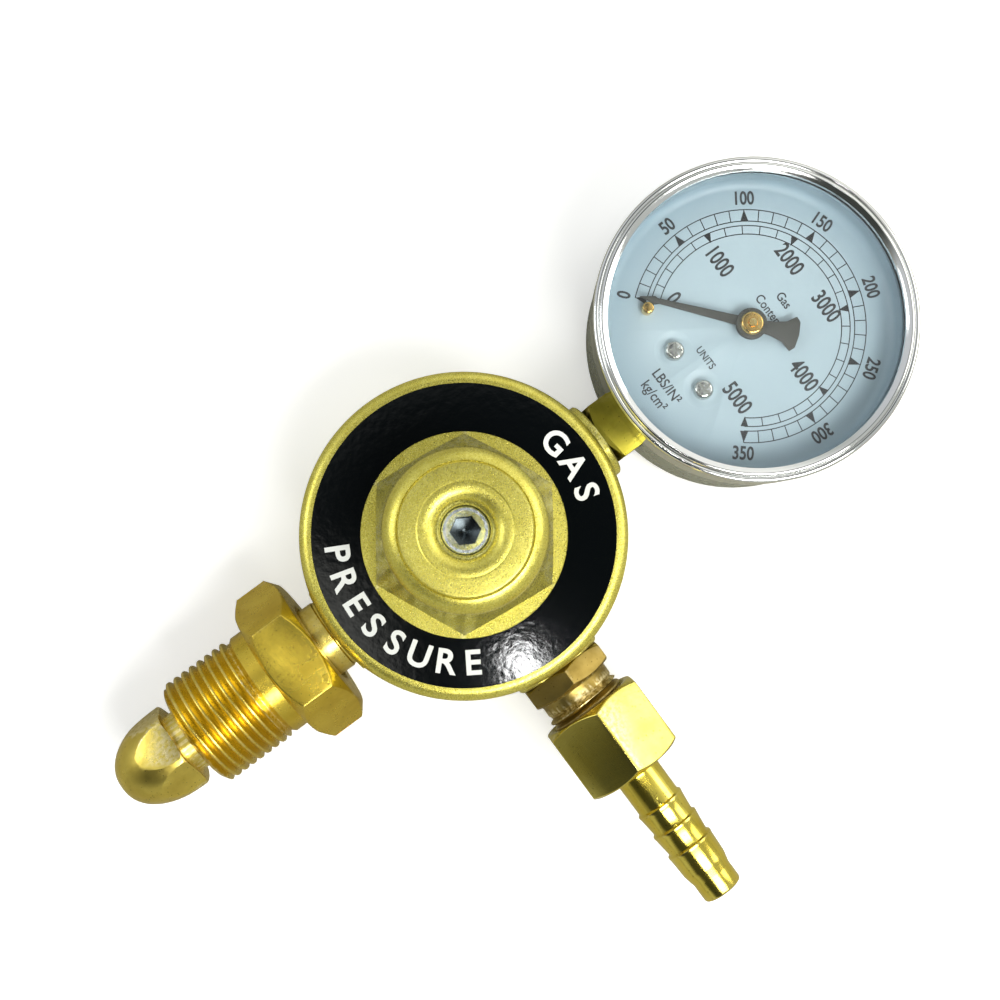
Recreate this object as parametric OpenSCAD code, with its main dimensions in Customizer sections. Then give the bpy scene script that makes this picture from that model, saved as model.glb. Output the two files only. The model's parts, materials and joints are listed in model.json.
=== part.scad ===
// Single-gauge cylinder regulator, lying on its back.
// Origin: centre of the flat back face. +Z: adjusting-screw axis, +X: towards the gauge.
// The inlet points along -X and the outlet along -Y; all three port axes meet at z = port_z.

/* [Body and bonnet] */
// Diameter of the bonnet flange, the widest round of the body
flange_d = 63.4; // [56:0.2:76]
// Height of the body from its flat back to the bonnet joint
body_h = 25.5; // [24.5:0.5:31]
// Height of the bonnet flange above the body
flange_h = 4.5; // [4:0.5:7]
// Height of the three port axes above the back face
port_z = 18; // [17.5:0.5:19]
// Diameter of the flat that the body rests on
back_d = 44; // [30:1:50]
// Bore of the cup that takes the bonnet thread and the diaphragm
cup_d = 48; // [44:0.5:50]
// Width across the flats of the bonnet hex
bonnet_af = 33.2; // [31:0.2:36]
// Turned-corner diameter of the bonnet hex
bonnet_turned_d = 37.4; // [34:0.2:40]
// Turn of the bonnet hex as tightened
bonnet_hex_turn = -6.2; // [-30:0.2:30]
// Height of the bonnet hex above the flange
bonnet_hex_h = 7.5; // [5:0.5:9]
// Diameter of the bonnet barrel above its hex
barrel_d = 30.6; // [29:0.2:32]
// Height of the bonnet above the flange
bonnet_h = 20; // [19:0.5:26]
// Bore of the spring space in the bonnet
spring_bore_d = 22; // [20.6:0.2:24]
// Diameter of the flat disc on top of the bonnet
cap_disc_d = 24.8; // [20:0.2:26]
// Inner diameter of the printed label ring
label_in_d = 39.6; // [38:0.2:44]
// Width of the printed label ring
label_w = 9.4; // [5:0.2:9.6]
// Thickness of the label ring
label_t = 0.25; // [0.2:0.05:0.5]

/* [Pressure adjustment] */
// Crest diameter of the adjusting screw
adjust_d = 9; // [7:0.5:9]
// Pitch of the adjusting screw
adjust_pitch = 1; // [0.75:0.25:1.25]
// Length of the adjusting screw
adjust_len = 14; // [13:0.5:15]
// Width across the flats of the hex socket in the screw
socket_af = 5; // [4:0.5:5]
// Depth of the hex socket
socket_depth = 5; // [3:0.5:7]
// Turns of the screw from slack to full pressure
adjust_turns = 4; // [2:0.5:4]
// Wire diameter of the pressure spring
spring_wire = 2.4; // [1.8:0.1:2.5]
// Outside diameter of the pressure spring
spring_d = 18.4; // [17:0.2:19]
// Turns in the pressure spring
spring_turns = 4.6; // [3:0.1:5]
// Thickness of the diaphragm
diaphragm_t = 1.2; // [0.8:0.1:1.5]
// Diameter of the plate that the spring presses on
plate_d = 31; // [26:0.5:33]
// Lift of the valve
valve_lift = 0.8; // [0.4:0.1:0.8]

/* [Inlet] */
// Crest diameter of the inlet thread
inlet_thread_d = 22.9; // [21:0.1:25.4]
// Pitch of the inlet thread
inlet_pitch = 1.814; // [1.337:0.001:1.9]
// Number of crests on the inlet thread
inlet_crests = 8; // [5:1:10]
// Width across the flats of the inlet nut
inlet_nut_af = 28.6; // [27:0.1:30]
// Length of the inlet nut's hex
inlet_nut_len = 10.4; // [7:0.2:14]
// Length of the smooth collar between hex and thread
inlet_collar_len = 4.6; // [3:0.2:7]
// Diameter of the nipple behind the nut
nipple_d = 15; // [14.6:0.1:16]
// Diameter of the nipple inside the nut
nipple_neck_d = 12.9; // [11:0.1:13.4]
// Length of neck left bare between the nut and the nose
nipple_bare = 2.8; // [1.5:0.1:5]
// Width across the flats of the nose
nose_af = 16.2; // [15:0.1:17.5]
// Length of the nose
nose_len = 14.6; // [13:0.2:18]
// Turn of the nose's flats from upright
nose_turn = 13; // [0:1:30]

/* [Outlet] */
// Width across the flats of the outlet adapter
adapter_af = 17; // [16:0.5:19]
// Length of the adapter's hex
adapter_hex_len = 4.4; // [4:0.2:7]
// Crest diameter of the outlet thread
outlet_thread_d = 16; // [15:0.5:16]
// Pitch of the outlet thread
outlet_pitch = 1.5; // [1:0.25:1.5]
// Width across the flats of the union nut
union_af = 20; // [19.5:0.5:23]
// Length of the union nut
union_len = 15.5; // [14:0.5:19]
// Turns that the union nut can be slackened
union_turns = 3; // [1:0.5:3]
// Diameter of the hose barb at its ridges
ridge_d = 10.1; // [9.4:0.1:11]
// Diameter of the hose barb between its ridges
barb_d = 9.3; // [8.6:0.1:9.4]
// Diameter of the hose barb at its tip
barb_tip_d = 8.4; // [7.5:0.1:9]
// Distance between the ridges
ridge_step = 4.9; // [4:0.1:6]
// Length of the hose barb in front of the union nut
barb_len = 29.3; // [28:0.1:36]
// Bore of the outlet
outlet_bore_d = 5.5; // [4:0.5:6]

/* [Gauge] */
// Outside diameter of the gauge case
case_d = 61; // [58:0.2:66]
// Depth of the gauge case
case_depth = 26; // [25:0.5:30]
// Outside diameter of the bezel
bezel_d = 63.4; // [62.4:0.2:68]
// Diameter of the opening in the bezel
bezel_open_d = 57.6; // [55:0.2:58]
// Width across the flats of the gauge stem
stem_af = 12.2; // [11:0.1:12.4]
// Length of the stem between the port boss and the case
stem_len = 6.1; // [5:0.1:9]
// Diameter of the dial plate
dial_d = 57.4; // [54:0.2:58]
// Sweep of the pointer
pointer_sweep = 260; // [180:5:270]
// Length of the pointer from its pivot to its tip
pointer_len = 22.6; // [21.5:0.1:24]

/* [Hidden] */
$fn = 72;

eps = 0.01;
fit = 0.05;              // running clearance of a shaft or thread in its hole, on the radius
slack = 0.3;             // clearance of pieces that pass each other
touch = 0.05;            // gap left between faces that close on each other
seat_gap = 0.1;          // clearance of parts dropped into a recess

// ---- body levels, from the back upwards
flange_r = flange_d / 2;
wall_r = flange_r - 1.5;
cup_r = cup_d / 2;
skirt_len = 5.3;
slip_t = 1;
seat_z = body_h - skirt_len - slip_t - diaphragm_t;
low_depth = 4;
floor_z = seat_z - low_depth;
low_r = cup_r - 4.2;
back_wall = 3;
nozzle_len = 4;
nozzle_z = floor_z - nozzle_len;
nozzle_r = 5;
valve_r = 4.6;
flange_z = body_h + flange_h;
bonnet_hex_drop = 4.6;     // fall of the turned slope from the barrel to the hex corners
top_z = flange_z + bonnet_h;

// ---- ports
port_r = 6.5;
port_pitch = 1.337;
port_end = cup_r + 1.6;
inlet_boss_r = 9.2;
inlet_face = flange_r - 1;
gauge_boss_r = 8.1;
gauge_face = flange_r + 1.5;
outlet_boss_r = 9.2;
outlet_face = flange_r + 0.1;
drill_r = 1.5;
gas_r = 2;

// ---- pressure adjustment
adjust_r = adjust_d / 2;
thread_len = 7.5;
dish_depth = 2.5;
dish_r = 7.6;
adjust_top = top_z - dish_depth - 0.5;
adjust_tip = adjust_top - adjust_len;
button_top = top_z - dish_depth - thread_len - 0.5;
button_t = 2;
button_floor = 1.5;
cup_in_r = adjust_r + slack;
cup_out_r = spring_d / 2 - spring_wire - slack / 2;
plate_z = seat_z + diaphragm_t;
plate_t = 1.6;
stud_r = 2;
stud_flange_t = 1.2;
pin_r = 0.8;
stud_nut_af = 7;
stud_nut_h = 3.2;
spring_lo = plate_z + plate_t;
spring_hi = button_top - button_t;

// ---- valve
washer_t = 0.4;
nozzle_head_h = 1.4;
seat_land = 0.5;
nozzle_bore_r = 1.2;
poppet_seat_z = nozzle_z - seat_land - touch;
poppet_h = 3;
poppet_stem_len = 1.9;
seat_disc_r = 2.6;
seat_disc_t = 1.4;

// ---- inlet, measured outwards from the body axis
// the nipple's shoulder passes this far under the flange
under_gap = 0.2;
nut_gap = 4.3;
nut_back = inlet_face + nut_gap;
collar_start = nut_back + inlet_nut_len;
thread_start = collar_start + inlet_collar_len;
nut_front = thread_start + inlet_crests * inlet_pitch + 0.6;
nose_start = nut_front + nipple_bare;
nose_end = nose_start + nose_len;
thread_depth = 0.61 * inlet_pitch;
collar_r = inlet_thread_d / 2 - 0.3;
shoulder_x = nut_back + 11;
filter_r = 2.6;
filter_len = 6;

// ---- outlet, measured outwards from the body axis
adapter_end = outlet_face + adapter_hex_len;
shank_r = outlet_thread_d / 2 - 0.55;
smooth_len = 3;
shank_end = adapter_end + smooth_len + 8.5;
union_start = adapter_end + 5.2;
union_end = union_start + union_len;
union_wall = 4;
barb_base = union_end - union_wall;
barb_flange_r = outlet_thread_d / 2 - 0.9;
barb_shoulder_r = ridge_d / 2 + 0.3;
barb_end = union_end + barb_len;
ridge_1 = union_end + 8.2;
ridge_land = 0.5;
ridge_count = 3;

// ---- gauge
case_r = case_d / 2;
case_wall = 1.1;
gauge_x = gauge_face + stem_len + case_r;
case_z = port_z - 14;
rim_z = case_z + case_depth;
gasket_t = 0.8;
window_t = 2;
window_z = rim_z + gasket_t;
bezel_r = bezel_d / 2;
bezel_top = window_z + window_t + 1.4;
bezel_skirt = 5.5;
dial_t = 0.6;
dial_z = rim_z - 5.6;
dial_top = dial_z + dial_t;
zero_angle = pointer_sweep / 2;
stop_angle = zero_angle + 5;
stop_r = 20.5;
dial_screw_x = -15.1;
dial_screw_y = 4.75;
pointer_z = dial_top + 1.8;
pointer_t = 0.4;
block_x0 = -case_r + case_wall + 3.2;
block_x1 = -11.4;
block_w = 15;
case_screws_x = [block_x0 + 2.8, block_x1 - 3.6];
bore_r = 1.6;
tongue_x1 = 10;
tongue_t = 2;
plate_gap = 6.2;
move_plate_t = 0.8;
back_plate_z = port_z - 4;
tongue_z = back_plate_z - tongue_t;
between_z = back_plate_z + move_plate_t;
front_plate_z = between_z + plate_gap;
pinion_teeth = 10;
gear_ratio = 8;
sector_teeth = pinion_teeth * gear_ratio;
gear_module = 0.3;
pinion_pr = gear_module * pinion_teeth / 2;
sector_pr = gear_module * sector_teeth / 2;
sector_dir = -60;
sector_at = (pinion_pr + sector_pr) * [cos(sector_dir), sin(sector_dir)];
sector_z = between_z + 2.2;
sector_t = 1;
sector_swing = pointer_sweep / gear_ratio;
mesh_dir = sector_dir + 180;
tail_len = 4.4;
tail_dir = 210;
tail_pin_r = 0.5;
tail_at = sector_at + tail_len * [cos(tail_dir), sin(tail_dir)];
link_len = 7;
link_dir = 300;
tip_at = tail_at + link_len * [cos(link_dir), sin(link_dir)];
tip_dir = atan2(tip_at[1], tip_at[0]);
tube_r = norm(tip_at) + 1.9;
tube_w = 3;
tube_h = 8;
tube_wall = 0.4;
tube_start = 163;
tip_half = 2.75;
arbor_r = 0.8;
sector_arbor_r = 0.9;
pillar_r = 1.2;
pillars_at = [[-8, 6], [6, 9], [14, -9]];
move_screws_at = [[-8, -4], [8, -3]];
link_t = 0.6;
link_z = sector_z + sector_t + 0.2;
hair_stud = [-5.9, 0];
hair_z = link_z + link_t + 0.3;
hair_h = 0.7;

gold = [0.80, 0.72, 0.30];
brass = [0.80, 0.70, 0.32];
steel = [0.74, 0.77, 0.78];
dark = [0.25, 0.26, 0.25];

// ================= helpers =================
function arc(cx, cz, r, a0, a1, n = 6) =
    [for (i = [0 : n]) [cx + r * cos(a0 + (a1 - a0) * i / n), cz + r * sin(a0 + (a1 - a0) * i / n)]];

// Outline of a row of thread crests from z0 upwards, on the outside radius r
function crests(r, pitch, depth, z0, n) =
    [for (i = [0 : n - 1]) each [
        [r - depth, z0 + i * pitch + 0.06 * pitch],
        [r, z0 + i * pitch + 0.42 * pitch],
        [r, z0 + i * pitch + 0.58 * pitch],
        [r - depth, z0 + i * pitch + 0.94 * pitch]
    ]];

module turned(points) {
    rotate_extrude() polygon(points);
}

module ring(r_out, r_in, z0, z1) {
    translate([0, 0, z0]) difference() {
        cylinder(r = r_out, h = z1 - z0);
        translate([0, 0, -1]) cylinder(r = r_in, h = z1 - z0 + 2);
    }
}

// Children drawn along +Z are laid along a port: z becomes the distance from the body axis
module port(direction) {
    rotate([0, 0, direction]) translate([0, 0, port_z]) rotate([0, 90, 0]) children();
}

// Hexagonal prism with both ends turned back to a chamfer
module hex(af, z0, z1, cut0, cut1) {
    corner = af / sqrt(3);
    r = corner + 0.02;
    flat = af / 2 - 0.3;
    intersection() {
        translate([0, 0, z0]) rotate([0, 0, 30]) cylinder(r = corner, h = z1 - z0, $fn = 6);
        turned([[0, z0], [flat, z0], [r, z0 + cut0], [r, z1 - cut1], [flat, z1], [0, z1]]);
    }
}

module at_gauge() {
    translate([gauge_x, 0, 0]) children();
}

// Round wire wound to a helix between two levels, with flat-lying end coils
module coil(mean_r, wire, turns, z0, z1, steps = 22, sides = 10) {
    n = round(turns * steps);
    lay = wire / 2;
    rise = z1 - z0 - wire;
    // the first and last three quarters of a turn lie almost flat
    function height(u) = u < 0.75 ? wire * 0.2 * u
        : u > turns - 0.75 ? rise - wire * 0.2 * (turns - u)
        : wire * 0.15 + (rise - wire * 0.3) * (u - 0.75) / (turns - 1.5);
    points = [for (i = [0 : n]) let (u = turns * i / n, a = 360 * u)
        for (k = [0 : sides - 1]) let (b = 360 * k / sides, r = mean_r + wire / 2 * cos(b))
            [r * cos(a), r * sin(a), z0 + lay + height(u) + wire / 2 * sin(b)]];
    walls = [for (i = [0 : n - 1]) for (k = [0 : sides - 1]) each [
        [i * sides + k, (i + 1) * sides + k, (i + 1) * sides + (k + 1) % sides],
        [i * sides + k, (i + 1) * sides + (k + 1) % sides, i * sides + (k + 1) % sides]
    ]];
    cap0 = [[for (k = [0 : sides - 1]) k]];
    cap1 = [[for (k = [sides - 1 : -1 : 0]) n * sides + k]];
    polyhedron(points, concat(cap0, walls, cap1), convexity = 8);
}

// ================= body and bonnet =================
module body() {
    color(gold) difference() {
        union() {
            turned(concat([[0, 0]], [[back_d / 2, 0]],
                [for (p = arc(0, 0, 1, -90, 0, 6))
                    [back_d / 2 + (wall_r - back_d / 2) * p[0], 9 + 9 * p[1]]],
                [[wall_r, body_h - 0.6], [wall_r - 0.6, body_h], [0, body_h]]));
            port(180) translate([0, 0, cup_r - 3]) cylinder(r = inlet_boss_r, h = inlet_face - cup_r + 3);
            port(0) translate([0, 0, cup_r - 3]) cylinder(r = gauge_boss_r, h = gauge_face - cup_r + 3);
            port(-90) translate([0, 0, cup_r - 3]) cylinder(r = outlet_boss_r, h = outlet_face - cup_r + 3);
        }
        // the joint with the bonnet stays flat above the bosses
        translate([-2 * flange_r, -2 * flange_r, body_h]) cube([4 * flange_r, 4 * flange_r, 20]);
        // diaphragm cup, low-pressure space, nozzle hole and valve chamber
        translate([0, 0, seat_z]) cylinder(r = cup_r, h = body_h);
        translate([0, 0, floor_z]) cylinder(r = low_r, h = body_h);
        translate([0, 0, nozzle_z]) cylinder(r = nozzle_r + fit, h = body_h);
        translate([0, 0, back_wall]) cylinder(r = valve_r, h = body_h);
        // tapped ports
        port(180) translate([0, 0, port_end]) cylinder(r = port_r + fit, h = flange_r);
        port(0) translate([0, 0, port_end]) cylinder(r = port_r + fit, h = flange_r);
        port(-90) translate([0, 0, port_end]) cylinder(r = port_r + fit, h = flange_r);
        // cylinder pressure reaches the valve chamber, and the low-pressure space feeds the outlet
        drilling(180, [valve_r - 1.5, back_wall + 3]);
        drilling(0, [valve_r - 1.5, back_wall + 3]);
        drilling(-90, [low_r - 2, floor_z + drill_r]);
    }
}

// Slanting hole from the foot of a port to a point [radius, height] inside the body
module drilling(direction, inner) {
    outer = [port_end + 2, port_z - 4.5];
    run = outer - inner;
    rotate([0, 0, direction]) translate([inner[0], 0, inner[1]])
        rotate([0, 90 - atan2(run[1], run[0]), 0]) cylinder(r = drill_r, h = norm(run));
}

module bonnet() {
    turned_r = bonnet_turned_d / 2;
    barrel_r = barrel_d / 2;
    cap_r = cap_disc_d / 2;
    hex_top = flange_z + bonnet_hex_h;
    cavity_r = low_r - 2.3;
    shoulder_r = barrel_r - cap_r - 0.4;
    color(gold) difference() {
        union() {
            turned(concat([[0, body_h], [flange_r - 0.8, body_h], [flange_r, body_h + 0.8]],
                arc(flange_r - 2.2, flange_z - 2.2, 2.2, 0, 90),
                [[0, flange_z]]));
            ring(cup_r - fit - 0.55, cavity_r, body_h - skirt_len, body_h + eps);
            turned(crests_skirt(cavity_r));
            rotate([0, 0, bonnet_hex_turn]) intersection() {
                translate([0, 0, flange_z - eps])
                    cylinder(r = bonnet_af / sqrt(3), h = bonnet_hex_h + eps, $fn = 6);
                turned([[0, flange_z - eps], [turned_r, flange_z - eps],
                    [turned_r, hex_top - bonnet_hex_drop], [barrel_r, hex_top], [0, hex_top]]);
            }
            turned(concat([[0, hex_top - 1], [barrel_r, hex_top - 1]],
                [[barrel_r, top_z - shoulder_r - 1.4], [barrel_r - 0.4, top_z - shoulder_r - 1]],
                arc(barrel_r - 0.4 - shoulder_r, top_z - shoulder_r - 0.3, shoulder_r, 8, 90),
                [[cap_r + 0.3, top_z - 0.3], [cap_r, top_z - 0.7], [cap_r - 0.25, top_z], [0, top_z]]));
        }
        // diaphragm space, cone and spring bore
        turned([[0, body_h - skirt_len - 1], [cavity_r, body_h - skirt_len - 1], [cavity_r, body_h - 2.5],
            [spring_bore_d / 2, body_h - 2.5 + (cavity_r - spring_bore_d / 2)],
            [spring_bore_d / 2, top_z - dish_depth - thread_len], [0, top_z - dish_depth - thread_len]]);
        // tapped hole and the dish above it
        translate([0, 0, top_z - dish_depth - thread_len - 1])
            cylinder(r = adjust_r + fit, h = dish_depth + thread_len + 2);
        turned(concat([[0, top_z - dish_depth], [adjust_r + 0.55, top_z - dish_depth]],
            arc(dish_r, top_z - dish_depth - 0.3, dish_r - adjust_r - 0.55, 180 - 15, 90),
            [[dish_r + 1.2, top_z + eps], [0, top_z + eps]]));
    }
}

// Male thread on the bonnet skirt
function crests_skirt(inner_r) = concat([[inner_r, body_h - skirt_len]],
    crests(cup_r - fit, 1.5, 0.8, body_h - skirt_len + 0.3, 3), [[inner_r, body_h]]);

module bonnet_label() {
    color("black") ring(label_in_d / 2 + label_w, label_in_d / 2, flange_z, flange_z + label_t);
}

module slip_ring() {
    color(brass) ring(cup_r - seat_gap * 3, low_r, body_h - skirt_len - slip_t, body_h - skirt_len);
}

// ================= diaphragm, spring and screw =================
module diaphragm() {
    color("dimgray") ring(cup_r - seat_gap * 3, stud_r + seat_gap, seat_z, seat_z + diaphragm_t);
}

module diaphragm_plate() {
    color(steel) difference() {
        union() {
            translate([0, 0, plate_z]) cylinder(d = plate_d, h = plate_t);
            ring(spring_d / 2 + 1.6, spring_d / 2 + slack, plate_z, plate_z + plate_t + 1);
        }
        translate([0, 0, plate_z - 1]) cylinder(r = stud_r + seat_gap, h = plate_t + 3);
    }
}

module diaphragm_stud() {
    color(brass) {
        translate([0, 0, poppet_seat_z + touch]) cylinder(r = pin_r, h = seat_z - poppet_seat_z);
        translate([0, 0, seat_z - stud_flange_t]) cylinder(r = 5.5, h = stud_flange_t);
        translate([0, 0, seat_z - eps]) cylinder(r = stud_r, h = diaphragm_t + plate_t + stud_nut_h + 0.5);
    }
}

module diaphragm_nut() {
    color(steel) difference() {
        hex(stud_nut_af, spring_lo, spring_lo + stud_nut_h, 0.5, 0.5);
        translate([0, 0, spring_lo - 1]) cylinder(r = stud_r + fit, h = stud_nut_h + 2);
    }
}

module adjusting_spring() {
    color(dark) coil((spring_d - spring_wire) / 2, spring_wire, spring_turns, spring_lo, spring_hi);
}

// Hat-shaped seat: its brim loads the spring and the screw bears on its floor
module spring_button() {
    color(steel) difference() {
        union() {
            translate([0, 0, spring_hi]) cylinder(r = spring_d / 2 + 0.6, h = button_t);
            translate([0, 0, adjust_tip - button_floor])
                cylinder(r = cup_out_r, h = spring_hi - adjust_tip + button_floor + eps);
        }
        translate([0, 0, adjust_tip]) cylinder(r = cup_in_r, h = adjust_len);
    }
}

module adjusting_screw() {
    n = floor((adjust_len - 3) / adjust_pitch);
    depth = 0.6 * adjust_pitch;
    socket_floor = adjust_top - socket_depth;
    color(steel) difference() {
        turned(concat([[0, adjust_tip], [adjust_r - 1.4, adjust_tip], [adjust_r - depth, adjust_tip + 1.2]],
            crests(adjust_r, adjust_pitch, depth, adjust_tip + 1.3, n),
            [[adjust_r - depth, adjust_tip + 1.3 + n * adjust_pitch], [adjust_r, adjust_top - 1.1],
            [adjust_r, adjust_top - 0.7], [adjust_r - 0.35, adjust_top], [0, adjust_top]]));
        translate([0, 0, socket_floor]) cylinder(r = socket_af / sqrt(3), h = socket_depth + 1, $fn = 6);
        turned([[0, adjust_top - 0.9], [socket_af / 2, adjust_top - 0.9],
            [socket_af / 2 + 1.1, adjust_top + 0.05], [0, adjust_top + 0.05]]);
    }
}

// ================= valve =================
module nozzle() {
    head_z = floor_z + washer_t;
    color(brass) difference() {
        union() {
            hex(12, head_z, head_z + nozzle_head_h, 0.3, 0.3);
            turned(concat([[0, nozzle_z], [nozzle_r - 0.5, nozzle_z]], crests(nozzle_r, 1, 0.5, nozzle_z, 4),
                [[nozzle_r - 0.5, head_z + eps], [0, head_z + eps]]));
            turned([[0, nozzle_z + eps], [2.4, nozzle_z + eps], [1.7, nozzle_z - seat_land],
                [0, nozzle_z - seat_land]]);
        }
        translate([0, 0, nozzle_z - 2]) cylinder(r = nozzle_bore_r, h = nozzle_len + 6);
    }
}

module nozzle_washer() {
    color("peru") ring(nozzle_r + 1.3, nozzle_r + fit, floor_z, floor_z + washer_t);
}

// Hexagonal poppet: its corners run in the chamber and gas passes its flats
module valve_poppet() {
    color(brass) difference() {
        union() {
            translate([0, 0, poppet_seat_z - 0.3 - poppet_h])
                cylinder(r = valve_r - 0.08, h = poppet_h, $fn = 6);
            translate([0, 0, poppet_seat_z - 0.3 - poppet_h - poppet_stem_len])
                cylinder(r = 1.4, h = poppet_stem_len + eps);
        }
        translate([0, 0, poppet_seat_z - seat_disc_t]) cylinder(r = seat_disc_r + touch, h = 5);
    }
}

module poppet_seat() {
    color("ivory") translate([0, 0, poppet_seat_z - seat_disc_t]) cylinder(r = seat_disc_r, h = seat_disc_t);
}

module valve_spring() {
    color(dark) coil(2, 0.45, 4.5, back_wall, poppet_seat_z - 0.3 - poppet_h, 16, 6);
}

// ================= inlet =================
module inlet_nipple() {
    neck_r = nipple_neck_d / 2;
    stub_r = nipple_d / 2;
    nose_r = nose_af / 2 + 1;
    seat_r = min(stub_r, body_h - port_z - under_gap);
    seat_end = flange_r + under_gap;
    color(brass) port(180) difference() {
        union() {
            turned(concat([[0, port_end + 0.5]], crests(port_r, port_pitch, 0.7, port_end + 0.5, 4),
                [[port_r - 0.7, inlet_face], [seat_r, inlet_face], [seat_r, seat_end],
                [stub_r, seat_end + 0.3], [stub_r, shoulder_x - 0.5],
                [neck_r, shoulder_x], [neck_r, nose_start + eps], [0, nose_start + eps]]));
            // hexagonal nose turned to a bull nose
            intersection() {
                rotate([0, 0, 30 + nose_turn]) translate([0, 0, nose_start])
                    cylinder(r = nose_af / sqrt(3), h = nose_len, $fn = 6);
                turned(concat([[0, nose_start], [nose_r - 0.5, nose_start]],
                    [for (a = [0 : 10 : 80])
                        [nose_r * pow(cos(a), 0.9), nose_start + 0.6 + (nose_len - 0.6) * pow(sin(a), 0.9)]],
                    [[0, nose_end]]));
            }
        }
        translate([0, 0, port_end - 1]) cylinder(r = gas_r, h = nose_end);
        translate([0, 0, nose_end - filter_len - 0.6]) cylinder(r = filter_r, h = filter_len + 2);
    }
}

module inlet_filter() {
    color("peru") port(180) translate([0, 0, nose_end - filter_len - 0.6])
        cylinder(r = filter_r - touch, h = filter_len);
}

module inlet_nut() {
    thread_r = inlet_thread_d / 2;
    color(brass) port(180) difference() {
        union() {
            hex(inlet_nut_af, nut_back, collar_start, 1.95, 1.95);
            turned(concat([[0, collar_start - eps], [collar_r, collar_start - eps]],
                [[collar_r, thread_start - 1]],
                [[thread_r - thread_depth, thread_start - 0.4]],
                crests(thread_r, inlet_pitch, thread_depth, thread_start, inlet_crests),
                [[thread_r - thread_depth - 0.4, nut_front], [0, nut_front]]));
        }
        // clearance round the nipple's stub, then the neck runs in the front bore
        translate([0, 0, nut_back - 1])
            cylinder(r = nipple_d / 2 + 0.9, h = shoulder_x + 1.5 - nut_back + 1);
        translate([0, 0, nut_back]) cylinder(r = nipple_neck_d / 2 + fit, h = nut_front);
    }
}

// ================= outlet =================
module outlet_adapter() {
    thread_r = outlet_thread_d / 2;
    start = adapter_end + smooth_len;
    n = floor((shank_end - start) / outlet_pitch);
    color(brass) port(-90) difference() {
        union() {
            rotate([0, 0, 30]) hex(adapter_af, outlet_face, adapter_end, 0.8, 0.8);
            turned(concat([[0, port_end + 0.5]], crests(port_r, port_pitch, 0.7, port_end + 0.5, 3),
                [[port_r - 0.7, outlet_face + eps], [shank_r, outlet_face + 1], [shank_r, start - 0.6],
                [shank_r - 0.4, start]],
                crests(thread_r, outlet_pitch, 0.92, start, n),
                [[shank_r - 0.4, start + n * outlet_pitch], [shank_r - 0.8, shank_end], [0, shank_end]]));
        }
        translate([0, 0, port_end - 1]) cylinder(d = outlet_bore_d, h = shank_end);
        // coned mouth that the barb seats in
        turned([[0, shank_end - 2.6], [outlet_bore_d / 2, shank_end - 2.6],
            [outlet_bore_d / 2 + 2.65, shank_end + 0.05], [0, shank_end + 0.05]]);
    }
}

module union_nut() {
    color(brass) port(-90) difference() {
        rotate([0, 0, 30]) hex(union_af, union_start, union_end, 1.1, 1.1);
        translate([0, 0, union_start - 1])
            cylinder(r = outlet_thread_d / 2 + fit, h = barb_base - union_start + 1);
        translate([0, 0, union_start]) cylinder(r = barb_shoulder_r + fit, h = union_len + 2);
    }
}

module hose_barb() {
    color(brass) port(-90) difference() {
        turned(concat(
            [[0, shank_end - 1.6], [outlet_bore_d / 2 + 0.75, shank_end - 1.6],
            [outlet_bore_d / 2 + 2.35, shank_end], [barb_flange_r, shank_end + touch],
            [barb_flange_r, barb_base - touch],
            [barb_shoulder_r, barb_base - touch], [barb_shoulder_r, union_end - 0.2],
            [barb_d / 2 + 0.2, union_end], [barb_d / 2, ridge_1 - 0.3]],
            [for (i = [0 : ridge_count - 1]) each [
                [barb_d / 2 - 0.03 * i, ridge_1 + i * ridge_step - 0.3],
                [ridge_d / 2, ridge_1 + i * ridge_step],
                [ridge_d / 2, ridge_1 + i * ridge_step + ridge_land]]],
            [[barb_d / 2 + 0.1, ridge_1 + ridge_count * ridge_step],
            [barb_tip_d / 2, barb_end - 4], [barb_tip_d / 2, barb_end - 0.5],
            [barb_tip_d / 2 - 0.5, barb_end], [0, barb_end]]));
        translate([0, 0, shank_end - 3]) cylinder(d = outlet_bore_d - 0.5, h = barb_end);
    }
}

// ================= gauge case =================
module gauge_stem() {
    color(brass) difference() {
        union() {
            port(0) {
                turned(concat([[0, port_end + 0.5]], crests(port_r, port_pitch, 0.7, port_end + 0.5, 5),
                    [[port_r - 0.7, gauge_face], [port_r - 0.7, gauge_face + eps], [0, gauge_face + eps]]));
                // square shank whose inner end is turned to a chamfer
                intersection() {
                    translate([-stem_af / 2, -stem_af / 2, gauge_face])
                        cube([stem_af, stem_af, stem_len + case_r + block_x0 + 1]);
                    turned([[0, gauge_face], [stem_af / 2 - 0.3, gauge_face],
                        [stem_af * 0.72, gauge_face + 1.6], [stem_af * 0.72, gauge_x], [0, gauge_x]]);
                }
            }
            at_gauge() {
                translate([block_x0, -block_w / 2, case_z + case_wall])
                    cube([block_x1 - block_x0, block_w, dial_z - case_z - case_wall]);
                translate([block_x1 - eps, -6, tongue_z]) cube([tongue_x1 - block_x1 + eps, 12, tongue_t]);
            }
        }
        port(0) translate([0, 0, port_end]) cylinder(r = bore_r, h = gauge_x - 21 - port_end);
        at_gauge() {
            translate([-21.8, 0, port_z]) rotate([-90, 0, 0]) cylinder(r = 1, h = block_w);
            for (s = [-1, 1]) translate([dial_screw_x, s * dial_screw_y, dial_z - 6])
                cylinder(r = 1.25 + fit, h = 7);
            for (x = case_screws_x) translate([x, 0, case_z]) cylinder(r = 1.5 + fit, h = 7);
            for (p = move_screws_at) translate([p[0], p[1], tongue_z - 1]) cylinder(r = 1 + fit, h = 6);
            translate([0, 0, tongue_z - 1]) cylinder(r = arbor_r + 0.4, h = 6);
        }
    }
}

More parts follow.
